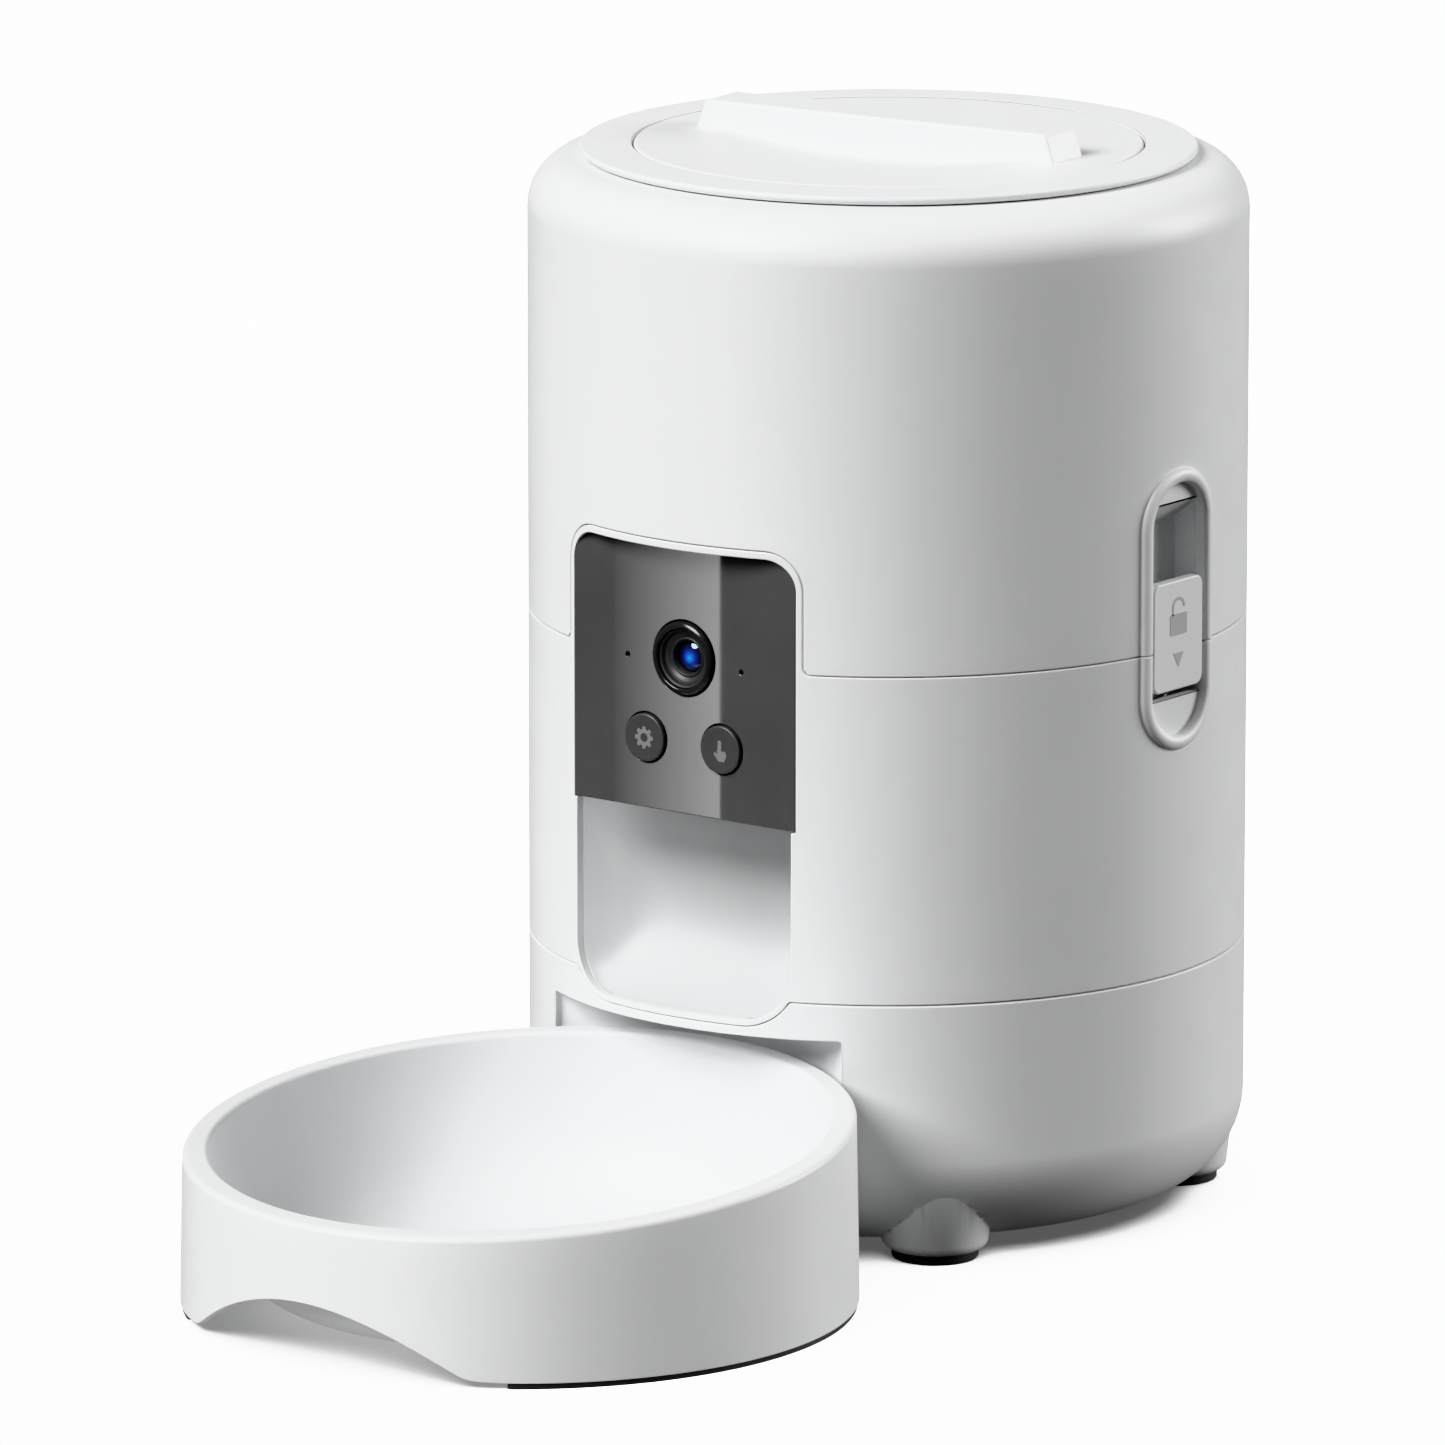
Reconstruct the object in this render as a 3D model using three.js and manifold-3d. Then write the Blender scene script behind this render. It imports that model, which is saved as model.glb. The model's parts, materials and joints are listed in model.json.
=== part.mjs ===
// Automatic pet feeder with a 3 litre hopper, a camera panel on a front tongue and a loose bowl.
// Millimetres, +Z up. The front, where the food comes out, faces -Y. Z = 0 is the surface it stands on.
import * as THREE from 'three';
import { mergeVertices } from 'three/addons/utils/BufferGeometryUtils.js';
import Module from 'manifold-3d';

const wasm = await Module();
wasm.setup();

// ---------- driving dimensions ----------
const BODY_R = 100; // outside radius of the round body
const WALL = 2.6; // wall of the white casings
const GAP = 0.3; // between pieces that rest on each other
const SEAM = 0.4; // visible joint between two casings
const ROUND = 48; // facets round the body
const BOWL_ROUND = 40;

const FLOOR_Z = 4.4; // underside of the base
const BASE_FILLET = 26; // round between the underside and the side
const BASE_TOP = 75.1;
const MID_TOP = 166.6;
const SHOULDER_Z = 279.5; // where the round shoulder starts
const SHELL_TOP = 294.2;
const NECK_R = 83; // inside of the hopper's mouth
const LID_R = 85.6;
const LID_TOP = 297;
const KNOB_R = 70.5;
const HANDLE_TOP = 305;
const HANDLE_TURN = 6.6 * Math.PI / 180;

const TONGUE_HALF = 40; // half width of the front tongue of the middle casing
const TONGUE_TOP = 200.4;
const PANEL_Y = -92.4; // front face of the flat control panel
const PANEL_HALF = 38.2;
const PANEL_BOTTOM = 123;
const PANEL_TOP = 198.3;
const PANEL_T = 2;
const TRAY_BACK = -87.6; // back of the wall that carries the panel
const TONGUE_BACK = -77.5;
const LENS_Z = 166.6;
const BUTTON_X = 13.1;
const BUTTON_Z = 142.8;
const BUTTON_R = 6.75;

const MOUTH_HALF = 37; // food mouth in the front
const MOUTH_BOTTOM = 69.2;
const MOUTH_TOP = 120.5;
const MOUTH_CORNER = 14;
const MOUTH_BACK = -73;
const LIP = 1.6; // edge of the middle casing under the mouth
const DUCT_HALF = 26;

const BOWL_Y = -165.4; // bowl axis
const BOWL_R = 92.4;
const RECESS_R = 95; // hollow of the base behind the bowl
const RECESS_HALF = 49.6;
const RECESS_TOP = 64.8;

const FOOT_RING = 81.5;
const FOOT_R = 14.8;
const FOOT_ANGLES = [-133.5, -46.5, 46.5, 133.5].map((d) => d * Math.PI / 180); // from -Y

const INLET_Z = 46; // power inlet at the back
const SPEAKER_Y = -45; // over slots in the floor, in front of the cells
const CELL_R = 16.6;
const CELL_FRONT = -20.4;
const CELL_BACK = CELL_FRONT + 60;
const BAY_HALF = 53.6; // half width of the cell bay's cover

const LATCH_HALF = 12; // half width of the latch openings in the sides
const LATCH_BOTTOM = 142.6;
const LATCH_TOP = 212.9;
const LATCH_BACK = 89.7;

const WELL_R = 62; // inside of the portioning well
const WELL_FLOOR = 127.5;
const DECK_TOP = 160.6;
const MOTOR_Y = 30; // gear centre distance, module 1, 48 and 12 teeth
const GEAR_TEETH = 48;
const PINION_TEETH = 12;

const FRONT_Y = BOWL_Y - 92.08; // foremost point of the bowl, at the top of its arch
const BODY_CENTRE_Y = -(FRONT_Y + BODY_R) / 2; // puts the origin under the middle of the object

// ---------- finishes ----------
const finish = (color, roughness, metalness = 0) =>
  new THREE.MeshStandardMaterial({ color, roughness, metalness });
const WHITE = finish(0xeceef0, 0.5);
const BLACK = finish(0x2c2d30, 0.25);
const GLASS = finish(0x1a2433, 0.08);
const DARK = finish(0x202124, 0.5);
const RUBBER = finish(0x1c1c1d, 0.85);
const SILICONE = finish(0x9aa0a4, 0.7);
const STEEL = finish(0xb4b7ba, 0.35, 1);
const BOARD = finish(0x1f5a3a, 0.5);
const CELL = finish(0x3b4f6b, 0.4, 0.4);
const GEAR = finish(0xd9d6cc, 0.55);

// ---------- solids ----------
// One closed body with shared corners, ready to cut or join.
function toSolid(geometry) {
  const bare = geometry.clone();
  bare.deleteAttribute('normal');
  bare.deleteAttribute('uv');
  const merged = mergeVertices(bare, 1e-4);
  const corners = Array.from(merged.index.array);
  const kept = [];
  for (let i = 0; i < corners.length; i += 3) {
    const [a, b, c] = corners.slice(i, i + 3);
    if (a !== b && b !== c && c !== a) kept.push(a, b, c);
  }
  const vertProperties = new Float32Array(merged.attributes.position.array);
  const make = (triVerts) => new wasm.Manifold(new wasm.Mesh({ numProp: 3, vertProperties, triVerts }));
  const solid = make(new Uint32Array(kept));
  return solid.volume() > 0 ? solid : make(new Uint32Array(kept.reverse()));
}

function toGeometry(solid) {
  const mesh = solid.getMesh();
  const geometry = new THREE.BufferGeometry();
  geometry.setAttribute('position', new THREE.BufferAttribute(mesh.vertProperties, mesh.numProp));
  geometry.setIndex(new THREE.BufferAttribute(mesh.triVerts, 1));
  return geometry;
}

const join = (...solids) => solids.reduce((sum, next) => sum.add(next));
const cut = (first, ...others) => others.reduce((rest, next) => rest.subtract(next), first);
const common = (first, ...others) => others.reduce((rest, next) => rest.intersect(next), first);

// Turned about the vertical axis; profile is a list of [radius, z].
function turned(profile, segments = ROUND, x = 0, y = 0) {
  const points = profile.map(([r, z]) => new THREE.Vector2(r, z));
  if (profile[0][0] > 0) points.push(points[0].clone());
  const geometry = new THREE.LatheGeometry(points, segments);
  return toSolid(geometry.rotateX(Math.PI / 2).translate(x, y, 0));
}

function block(x0, x1, y0, y1, z0, z1) {
  const geometry = new THREE.BoxGeometry(x1 - x0, y1 - y0, z1 - z0);
  return toSolid(geometry.translate((x0 + x1) / 2, (y0 + y1) / 2, (z0 + z1) / 2));
}

function rod(radius, z0, z1, x = 0, y = 0, segments = 24) {
  const geometry = new THREE.CylinderGeometry(radius, radius, z1 - z0, segments);
  return toSolid(geometry.rotateX(Math.PI / 2).translate(x, y, (z0 + z1) / 2));
}

// A rod along Y, from y0 to y1, which may taper from r0 to r1.
function rodY(r0, r1, y0, y1, x, z, segments = 16) {
  const geometry = new THREE.CylinderGeometry(r1, r0, y1 - y0, segments);
  return toSolid(geometry.translate(x, (y0 + y1) / 2, z));
}

const ring = (outer, inner, z0, z1, x = 0, y = 0, segments = 24) =>
  turned([[inner, z0], [outer, z0], [outer, z1], [inner, z1]], segments, x, y);

// An outline in X and Z, pushed from y0 to y1.
function frontPrism(shape, y0, y1, curve = 4) {
  const options = { depth: y1 - y0, bevelEnabled: false, curveSegments: curve };
  const geometry = new THREE.ExtrudeGeometry(shape, options);
  return toSolid(geometry.rotateX(Math.PI / 2).translate(0, y1, 0));
}

// An outline in Y and Z, pushed from x0 to x1.
function sidePrism(shape, x0, x1, curve = 6) {
  const options = { depth: x1 - x0, bevelEnabled: false, curveSegments: curve };
  const geometry = new THREE.ExtrudeGeometry(shape, options);
  return toSolid(geometry.rotateX(Math.PI / 2).rotateZ(Math.PI / 2).translate(x0, 0, 0));
}

// An outline in X and Y, pushed from z0 to z1.
function floorPrism(shape, z0, z1, curve = 6) {
  const options = { depth: z1 - z0, bevelEnabled: false, curveSegments: curve };
  const geometry = new THREE.ExtrudeGeometry(shape, options);
  return toSolid(geometry.translate(0, 0, z0));
}

const polygon = (points) => new THREE.Shape(points.map(([a, b]) => new THREE.Vector2(a, b)));

// A box outline with its own radius at the lower and at the upper corners.
function plate(half, low, high, lowRadius, highRadius) {
  const shape = new THREE.Shape();
  shape.moveTo(half, low + lowRadius);
  shape.lineTo(half, high - highRadius);
  if (highRadius) shape.absarc(half - highRadius, high - highRadius, highRadius, 0, Math.PI / 2);
  if (highRadius) shape.absarc(highRadius - half, high - highRadius, highRadius, Math.PI / 2, Math.PI);
  else shape.lineTo(-half, high);
  shape.lineTo(-half, low + lowRadius);
  if (lowRadius) shape.absarc(lowRadius - half, low + lowRadius, lowRadius, Math.PI, 1.5 * Math.PI);
  if (lowRadius) shape.absarc(half - lowRadius, low + lowRadius, lowRadius, 1.5 * Math.PI, 2 * Math.PI);
  return shape;
}

// Points of an arc in a profile, about (r, z), from one angle to another in degrees.
function arc(r, z, radius, from, to, steps) {
  return Array.from({ length: steps + 1 }, (_, i) => {
    const angle = THREE.MathUtils.degToRad(from + (to - from) * i / steps);
    return [r + radius * Math.cos(angle), z + radius * Math.sin(angle)];
  });
}

const at = (radius, angle) => [radius * Math.sin(angle), -radius * Math.cos(angle)]; // angle from the front

const feeder = new THREE.Group();
feeder.position.y = BODY_CENTRE_Y;

function add(name, solid, material) {
  const mesh = new THREE.Mesh(toGeometry(solid), material);
  mesh.name = name;
  feeder.add(mesh);
}

const full = (z0, z1, radius = BODY_R) => rod(radius, z0, z1, 0, 0, ROUND);

// ---------- outlines that several pieces share ----------
const mouthOutline = (grow) =>
  plate(MOUTH_HALF + grow, MOUTH_BOTTOM - grow, PANEL_BOTTOM - 0.1, MOUTH_CORNER + grow, 0);
const tongueOutline = (grow) =>
  plate(TONGUE_HALF + grow, PANEL_BOTTOM - 0.1, TONGUE_TOP + grow, 0, 11 + grow);

// The bead and the opening of a latch, as a Y-Z outline with round ends.
function obround(half, low, high) {
  const shape = new THREE.Shape();
  shape.absarc(0, high - half, half, 0, Math.PI);
  shape.absarc(0, low + half, half, Math.PI, 2 * Math.PI);
  return shape;
}

// ---------- lower casing ----------
function baseShell() {
  const rimR = BODY_R - WALL;
  const filletR = BODY_R - BASE_FILLET;
  const outer = turned([[0, FLOOR_Z], ...arc(filletR, FLOOR_Z + BASE_FILLET, BASE_FILLET, -90, 0, 4),
    [BODY_R, BASE_TOP], [0, BASE_TOP]]);
  const inside = turned([[0, FLOOR_Z + WALL],
    ...arc(filletR, FLOOR_Z + BASE_FILLET, BASE_FILLET - WALL, -90, 0, 4),
    [rimR, BASE_TOP + 1], [0, BASE_TOP + 1]]);
  const feet = FOOT_ANGLES.map((angle) => {
    const [x, y] = at(FOOT_RING, angle);
    return turned([[0, 2.8], [12.6, 2.8], [FOOT_R, 5.8], [FOOT_R + 2.2, 24], [0, 24]], 20, x, y);
  });
  const recess = (grow) => common(
    block(-RECESS_HALF - grow, RECESS_HALF + grow, -BODY_R - 1, 0, grow ? FLOOR_Z : -1, RECESS_TOP + grow),
    rod(RECESS_R + grow, -2, RECESS_TOP + grow, 0, BOWL_Y, ROUND));
  const shell = cut(join(outer, ...feet), inside);
  const housing = common(recess(WALL), outer);
  const columns = FOOT_ANGLES.map((angle) => {
    const [x, y] = at(FOOT_RING, angle);
    return rod(5.5, FLOOR_Z + 1, 72, x, y, 10);
  });
  const padHoles = FOOT_ANGLES.map((angle) => rod(12.4, 0, 3.4, ...at(FOOT_RING, angle), 16));
  const screwHoles = FOOT_ANGLES.flatMap((angle) => {
    const [x, y] = at(FOOT_RING, angle);
    return [rod(3.4, 0, 60.4, x, y, 10), rod(1.8, 0, 80, x, y, 10)];
  });
  const bayHalf = BAY_HALF + 0.4;
  const bay = block(-bayHalf, bayHalf, CELL_FRONT - 4.2, CELL_BACK + 2.6, 0, FLOOR_Z + WALL + 1);
  const slots = [-1.5, -0.5, 0.5, 1.5].map((i) =>
    block(-10, 10, SPEAKER_Y + 6 * i - 1.2, SPEAKER_Y + 6 * i + 1.2, 0, 10));
  const mouth = frontPrism(mouthOutline(LIP + SEAM), -BODY_R - 1, -80);
  const inlet = rodY(5.8, 5.8, 90, 101, 0, INLET_Z);
  const body = join(shell, housing, ...columns);
  return cut(body, recess(0), mouth, ...padHoles, ...screwHoles, bay, ...slots, inlet);
}
add('base_shell', baseShell(), WHITE);

FOOT_ANGLES.forEach((angle, i) => {
  const [x, y] = at(FOOT_RING, angle);
  add(`foot_pad_${i + 1}`, turned([[0, 0], [11.2, 0], [12, 0.8], [12, 3.1], [0, 3.1]], 16, x, y), RUBBER);
  add(`case_screw_${i + 1}`, join(rod(3, 57.6, 60.1, x, y, 10), rod(1.4, 60, 86, x, y, 8)), STEEL);
});

// ---------- backup cells under the floor of the base ----------
[-35, 0, 35].forEach((x, i) => {
  const body = rodY(CELL_R, CELL_R, CELL_FRONT, CELL_BACK - 2, x, 25, 20);
  add(`battery_${i + 1}`, join(body, rodY(4.6, 4.6, CELL_BACK - 3, CELL_BACK, x, 25, 12)), CELL);
});
add('battery_contacts_front', block(-53, 53, CELL_FRONT - 1, CELL_FRONT - 0.4, 9, 40), STEEL);
add('battery_contacts_rear', block(-53, 53, CELL_BACK + 0.4, CELL_BACK + 1, 9, 40), STEEL);
add('battery_cover',
  block(-BAY_HALF, BAY_HALF, CELL_FRONT - 3.8, CELL_BACK + 2.2, FLOOR_Z, FLOOR_Z + 2.3), WHITE);

// ---------- loudspeaker over its slots, and the power inlet at the back ----------
add('speaker', turned([[0, 8.4], [17, 8.4], [18, 9.4], [18, 14], [9, 20], [0, 20]], 16, 0, SPEAKER_Y), DARK);
const jackBore = rodY(2.9, 2.9, 90, 101, 0, INLET_Z, 16);
add('power_jack', cut(rodY(5.4, 5.4, 84, 99.4, 0, INLET_Z, 20), jackBore), DARK);

// ---------- middle casing ----------
// Walls of the pocket behind a latch opening, between two heights, on the side of +X.
function latchPocket(z0, z1) {
  const walls = block(LATCH_BACK - 2, BODY_R - 1.5, -LATCH_HALF - 2, LATCH_HALF + 2, z0, z1);
  const bead = common(cut(full(z0, z1, BODY_R + 1.5), full(z0 - 1, z1 + 1, BODY_R - WALL)),
    sidePrism(obround(16, 138.3, 218.1), 80, 105));
  return join(walls, bead);
}
const latchSpace = (z0, z1) => common(
  block(LATCH_BACK, BODY_R + 3, -LATCH_HALF, LATCH_HALF, z0, z1),
  sidePrism(obround(LATCH_HALF, LATCH_BOTTOM, LATCH_TOP), 80, 110));
const bothSides = (solid) => join(solid, solid.mirror([1, 0, 0]));

function midShell() {
  const low = BASE_TOP + SEAM;
  const wall = cut(full(low, MID_TOP), full(low - 1, MID_TOP + 1, BODY_R - WALL));
  const lip = cut(common(frontPrism(mouthOutline(LIP), -BODY_R - 1, -80), full(60, MID_TOP)),
    full(60, MID_TOP + 1, BODY_R - WALL), block(-60, 60, -110, 0, 90, 200));
  const tongue = common(frontPrism(tongueOutline(0), -BODY_R - 1, TONGUE_BACK), full(low, TONGUE_TOP));
  const panelSpace = frontPrism(plate(PANEL_HALF + GAP, PANEL_BOTTOM - 1, PANEL_TOP + GAP, 0, 9),
    -BODY_R - 1, PANEL_Y + PANEL_T + GAP);
  const boxOutline = plate(TONGUE_HALF - 2.4, PANEL_BOTTOM + 2, TONGUE_TOP - 2.4, 0, 9);
  const boxSpace = frontPrism(boxOutline, TRAY_BACK, -60);
  const deck = cut(full(DECK_TOP - WALL, DECK_TOP, BODY_R - 1), rod(WELL_R + 3, 100, 200, 0, 0, 32));
  const bosses = FOOT_ANGLES.flatMap((angle) => {
    const [x, y] = at(FOOT_RING, angle);
    const rib = block(-1.2, 1.2, -BODY_R + 1, -FOOT_RING, 77, 96).rotate([0, 0, angle * 180 / Math.PI]);
    return [rod(5.5, 73, 96, x, y, 10), rib];
  });
  const screwHoles = FOOT_ANGLES.map((angle) => rod(1.8, 60, 88, ...at(FOOT_RING, angle), 10));
  const tabPlate = block(96, BODY_R - 1.5, -LATCH_HALF - 1, LATCH_HALF + 1, LATCH_BOTTOM - 1, 153);
  const deckSpace = block(-MOUTH_HALF, MOUTH_HALF, TRAY_BACK, -60, 130, DECK_TOP + 1);
  const panelHoles = [rodY(8.9, 8.9, -95, -80, 0, LENS_Z, 20),
    ...[-1, 1].map((side) => rodY(BUTTON_R + GAP, BUTTON_R + GAP, -95, -80, side * BUTTON_X, BUTTON_Z)),
    ...[-1, 1].map((side) => rodY(1.6, 1.6, -95, -80, side * 19.6, 165.2, 6))];
  const pockets = bothSides(latchPocket(LATCH_BOTTOM - 2.2, MID_TOP));
  const body = cut(join(wall, lip, tongue, deck, ...bosses, pockets),
    bothSides(latchSpace(LATCH_BOTTOM, MID_TOP + 1)));
  const mouth = frontPrism(mouthOutline(0), -BODY_R - 1, -80);
  return cut(join(body, bothSides(tabPlate)), mouth, panelSpace, boxSpace, deckSpace, ...panelHoles,
    ...screwHoles);
}
add('mid_shell', midShell(), WHITE);

// ---------- food chute: sloping duct from the well to the mouth ----------
function chuteDuct() {
  const rampTop = [-36.5, 124.6];
  const duct = (grow) => sidePrism(polygon([
    [MOUTH_BACK - 1, 104 - grow], [rampTop[0] + grow, rampTop[1] - 1.8 * grow],
    [rampTop[0] + grow, rampTop[1]],
    [-62 - grow, rampTop[1]], [-70, MOUTH_TOP + grow], [MOUTH_BACK - 1, MOUTH_TOP + grow],
  ]), -DUCT_HALF - grow, DUCT_HALF + grow);
  // The floor of the mouth curves from the upright back wall out to the lip.
  const cove = new THREE.Shape();
  cove.moveTo(-BODY_R - 3, MOUTH_BOTTOM);
  cove.lineTo(-BODY_R, MOUTH_BOTTOM);
  cove.quadraticCurveTo(MOUTH_BACK - 6, MOUTH_BOTTOM + 1.5, MOUTH_BACK, MOUTH_BOTTOM + 22);
  cove.lineTo(MOUTH_BACK, MOUTH_TOP);
  cove.lineTo(-BODY_R - 3, MOUTH_TOP);
  const inMouth = common(sidePrism(cove, -MOUTH_HALF, MOUTH_HALF),
    frontPrism(mouthOutline(0), -BODY_R - 1, MOUTH_BACK),
    floorPrism(plate(MOUTH_HALF, -BODY_R - 20, MOUTH_BACK, 0, 14), 60, MOUTH_TOP));
  const round = full(60, 140, BODY_R - WALL - GAP);
  const outMouth = common(block(-MOUTH_HALF - 2.2, MOUTH_HALF + 2.2, -BODY_R, MOUTH_BACK + 2.2,
    RECESS_TOP + WALL + GAP + 0.2, PANEL_BOTTOM - 0.4), frontPrism(mouthOutline(2.2), -BODY_R, -60), round);
  return cut(join(outMouth, duct(2.2)), inMouth, duct(0));
}
add('chute_duct', chuteDuct(), WHITE);

// ---------- control panel, camera and buttons on the front tongue ----------
function controlPanel() {
  const panel = frontPrism(plate(PANEL_HALF, PANEL_BOTTOM, PANEL_TOP, 0, 8.7), PANEL_Y, PANEL_Y + PANEL_T);
  const buttonHoles = [-1, 1].map((side) =>
    rodY(BUTTON_R + GAP, BUTTON_R + GAP, -95, -80, side * BUTTON_X, BUTTON_Z));
  const pinHoles = [-1, 1].map((side) => rodY(0.7, 0.7, -95, -80, side * 19.6, 165.2, 6));
  return cut(panel, rodY(10.6, 10.6, -95, -80, 0, LENS_Z, 20), ...buttonHoles, ...pinHoles);
}
add('control_panel', controlPanel(), BLACK);

const bezelBore = rodY(8.6, 8.6, -95, -80, 0, LENS_Z, 20);
add('camera_bezel', cut(rodY(9.4, 10.3, PANEL_Y - 1.4, -90.5, 0, LENS_Z, 20), bezelBore), BLACK);
const barrel = cut(rodY(8.3, 8.3, -93, -79, 0, LENS_Z, 20), rodY(7.6, 5.6, -93.5, -89, 0, LENS_Z, 20),
  rodY(4.4, 4.4, -90, -84, 0, LENS_Z, 20));
add('camera_barrel', barrel, BLACK);
const lensDome = common(rodY(4.1, 4.1, -92, -85, 0, LENS_Z, 20),
  toSolid(new THREE.SphereGeometry(8, 16, 12).translate(0, -82.4, LENS_Z)));
add('camera_lens', lensDome, GLASS);

add('microphone', rodY(1.3, 1.3, -89.9, -86, -19.6, 165.2, 6), DARK);
add('status_light', rodY(1.3, 1.3, -89.9, -86, 19.6, 165.2, 6), finish(0x9fc8e8, 0.3));
for (const [name, side] of [['set_button', -1], ['feed_button', 1]]) {
  const x = side * BUTTON_X;
  add(name, join(rodY(BUTTON_R - 0.3, BUTTON_R, PANEL_Y - 0.7, PANEL_Y - 0.3, x, BUTTON_Z),
    rodY(BUTTON_R, BUTTON_R, PANEL_Y - 0.4, -87, x, BUTTON_Z),
    rodY(2, 2, -88, -86.2, x, BUTTON_Z, 12)), BLACK);
}
const controlBoard = cut(block(-34, 34, -84.6, -83, 130, 192), rodY(8.8, 8.8, -86, -80, 0, LENS_Z, 20));
add('control_board', controlBoard, BOARD);
const coverOutline = plate(TONGUE_HALF - 3, 126, TONGUE_TOP - 0.4, 0, 9);
add('control_box_cover', frontPrism(coverOutline, -77.1, -75.3), WHITE);

// ---------- latches ----------
function latchTab() {
  const top = 185.9;
  const bottom = 155.2;
  const face = sidePrism(plate(11.4, bottom, top, 3, 3), 96.8, 99.8, 3);
  const spine = block(94.5, 97, -5, 5, bottom, 180);
  const nose = block(93.4, 95, -6, 6, 176, 179);
  const springSeat = block(91.4, 95, -5, 5, bottom, 157.5);
  return join(face, spine, nose, springSeat);
}
function latchSpring() {
  // Two and a half turns of wire between the floor of the pocket and the seat of the tab.
  const low = LATCH_BOTTOM + 1.2;
  const height = 10.7;
  const turns = 2.5;
  const points = Array.from({ length: 26 }, (_, i) => {
    const angle = 2 * Math.PI * turns * i / 25;
    return new THREE.Vector3(93 + 1.6 * Math.cos(angle), 3.4 * Math.sin(angle), low + height * i / 25);
  });
  const wire = new THREE.Shape().absarc(0, 0, 0.5, 0, 2 * Math.PI);
  const path = new THREE.CatmullRomCurve3(points);
  return toSolid(new THREE.ExtrudeGeometry(wire, { steps: 30, curveSegments: 2, extrudePath: path }));
}
for (const [side, mirrored] of [['right', false], ['left', true]]) {
  const place = (solid) => mirrored ? solid.mirror([1, 0, 0]) : solid;
  add(`latch_tab_${side}`, place(latchTab()), WHITE);
  add(`latch_spring_${side}`, place(latchSpring()), STEEL);
}

// ---------- rotor drive ----------
function rotorWell() {
  const cup = turned([[6, WELL_FLOOR - 2.5], [WELL_R + 2.4, WELL_FLOOR - 2.5], [WELL_R + 2.4, DECK_TOP + GAP],
    [71, DECK_TOP + GAP], [71, DECK_TOP + 2.7], [WELL_R, DECK_TOP + 2.7], [WELL_R, WELL_FLOOR],
    [6, WELL_FLOOR]], 32);
  const outlet = floorPrism(polygon([[-DUCT_HALF, -60], [DUCT_HALF, -60], [DUCT_HALF * 0.75, -37.5],
    [-DUCT_HALF * 0.75, -37.5]]), 100, WELL_FLOOR + 1);
  return cut(cup, common(outlet, rod(WELL_R - 0.5, 90, 140, 0, 0, 32)));
}
add('rotor_well', rotorWell(), WHITE);

// Spur gear of module 1 with straight-sided stub teeth; one tooth or one gap points to +Y.
function gear(teeth, z0, z1, bore, x, y, toothUp) {
  const pitch = teeth / 2;
  const half = Math.PI / 2 / teeth;
  const shape = new THREE.Shape();
  for (let i = 0; i < teeth; i++) {
    const middle = Math.PI / 2 + (i + (toothUp ? 0 : 0.5)) * 2 * Math.PI / teeth;
    const corners = [[pitch - 1.15, -1.4], [pitch + 0.8, -0.45], [pitch + 0.8, 0.45], [pitch - 1.15, 1.4]];
    for (const [r, share] of corners) {
      const angle = middle + share * half;
      const point = [r * Math.cos(angle), r * Math.sin(angle)];
      if (shape.curves.length || shape.currentPoint.length()) shape.lineTo(...point);
      else shape.moveTo(...point);
    }
  }
  const wheel = floorPrism(shape, z0, z1).translate([x, y, 0]);
  return bore ? cut(wheel, rod(bore, z0 - 1, z1 + 1, x, y, 16)) : wheel;
}
const SHAFT_R = 4;
const SHAFT_BORE = 4.3;
const GEAR_Z0 = 112;
const GEAR_Z1 = 121;
const PADDLES = 6;
add('drive_gear', gear(GEAR_TEETH, GEAR_Z0, GEAR_Z1, SHAFT_BORE, 0, 0, true), GEAR);
add('motor_pinion', join(gear(PINION_TEETH, GEAR_Z0, GEAR_Z1, 0, 0, MOTOR_Y, false),
  rod(1.8, 101, GEAR_Z0 + 1, 0, MOTOR_Y, 12)), STEEL);
add('rotor_shaft', rod(SHAFT_R, 103, 176, 0, 0, 16), STEEL);

function foodRotor() {
  const paddles = Array.from({ length: PADDLES }, (_, i) =>
    block(-1.5, 1.5, 10, WELL_R - 1.5, WELL_FLOOR + 0.8, 157).rotate([0, 0, 30 + i * 360 / PADDLES]));
  return cut(join(rod(14, WELL_FLOOR + 0.8, 158, 0, 0, 24), ...paddles), rod(SHAFT_BORE, 120, 160, 0, 0, 16));
}
add('food_rotor', foodRotor(), SILICONE);

function stirrer() {
  const arms = [0, 1, 2].map((i) => block(-2, 2, 4, 38, 166, 170).rotate([14, 0, i * 120]));
  return cut(join(rod(9, 158.4, 180, 0, 0, 20), ...arms),
    rod(SHAFT_BORE, 150, 176.4, 0, 0, 16));
}
add('stirrer', stirrer(), WHITE);

const SCREW_X = 11;
function motorBracket() {
  const plateShape = floorPrism(polygon([[-20, -22], [20, -22], [20, 20], [82, 44], [78, 58], [18, 52],
    [-18, 52], [-78, 58], [-82, 44], [-20, 20]]), 108.4, 111);
  const posts = [-1, 1].map((side) => rod(4, 110, DECK_TOP - WALL - GAP, side * 76, 49, 12));
  return cut(join(plateShape, ...posts), rod(SHAFT_BORE, 100, 115, 0, 0, 16),
    rod(2.2, 100, 115, 0, MOTOR_Y, 12),
    ...[-1, 1].map((side) => rod(1.7, 100, 115, side * SCREW_X, MOTOR_Y, 8)));
}
add('motor_bracket', motorBracket(), GEAR);
const motorBody = turned([[2.2, 106.4], [15.5, 106.4], [17, 104], [17, 72], [15, 68], [4, 68], [4, 98],
  [2.2, 98]], 20, 0, MOTOR_Y);
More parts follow.
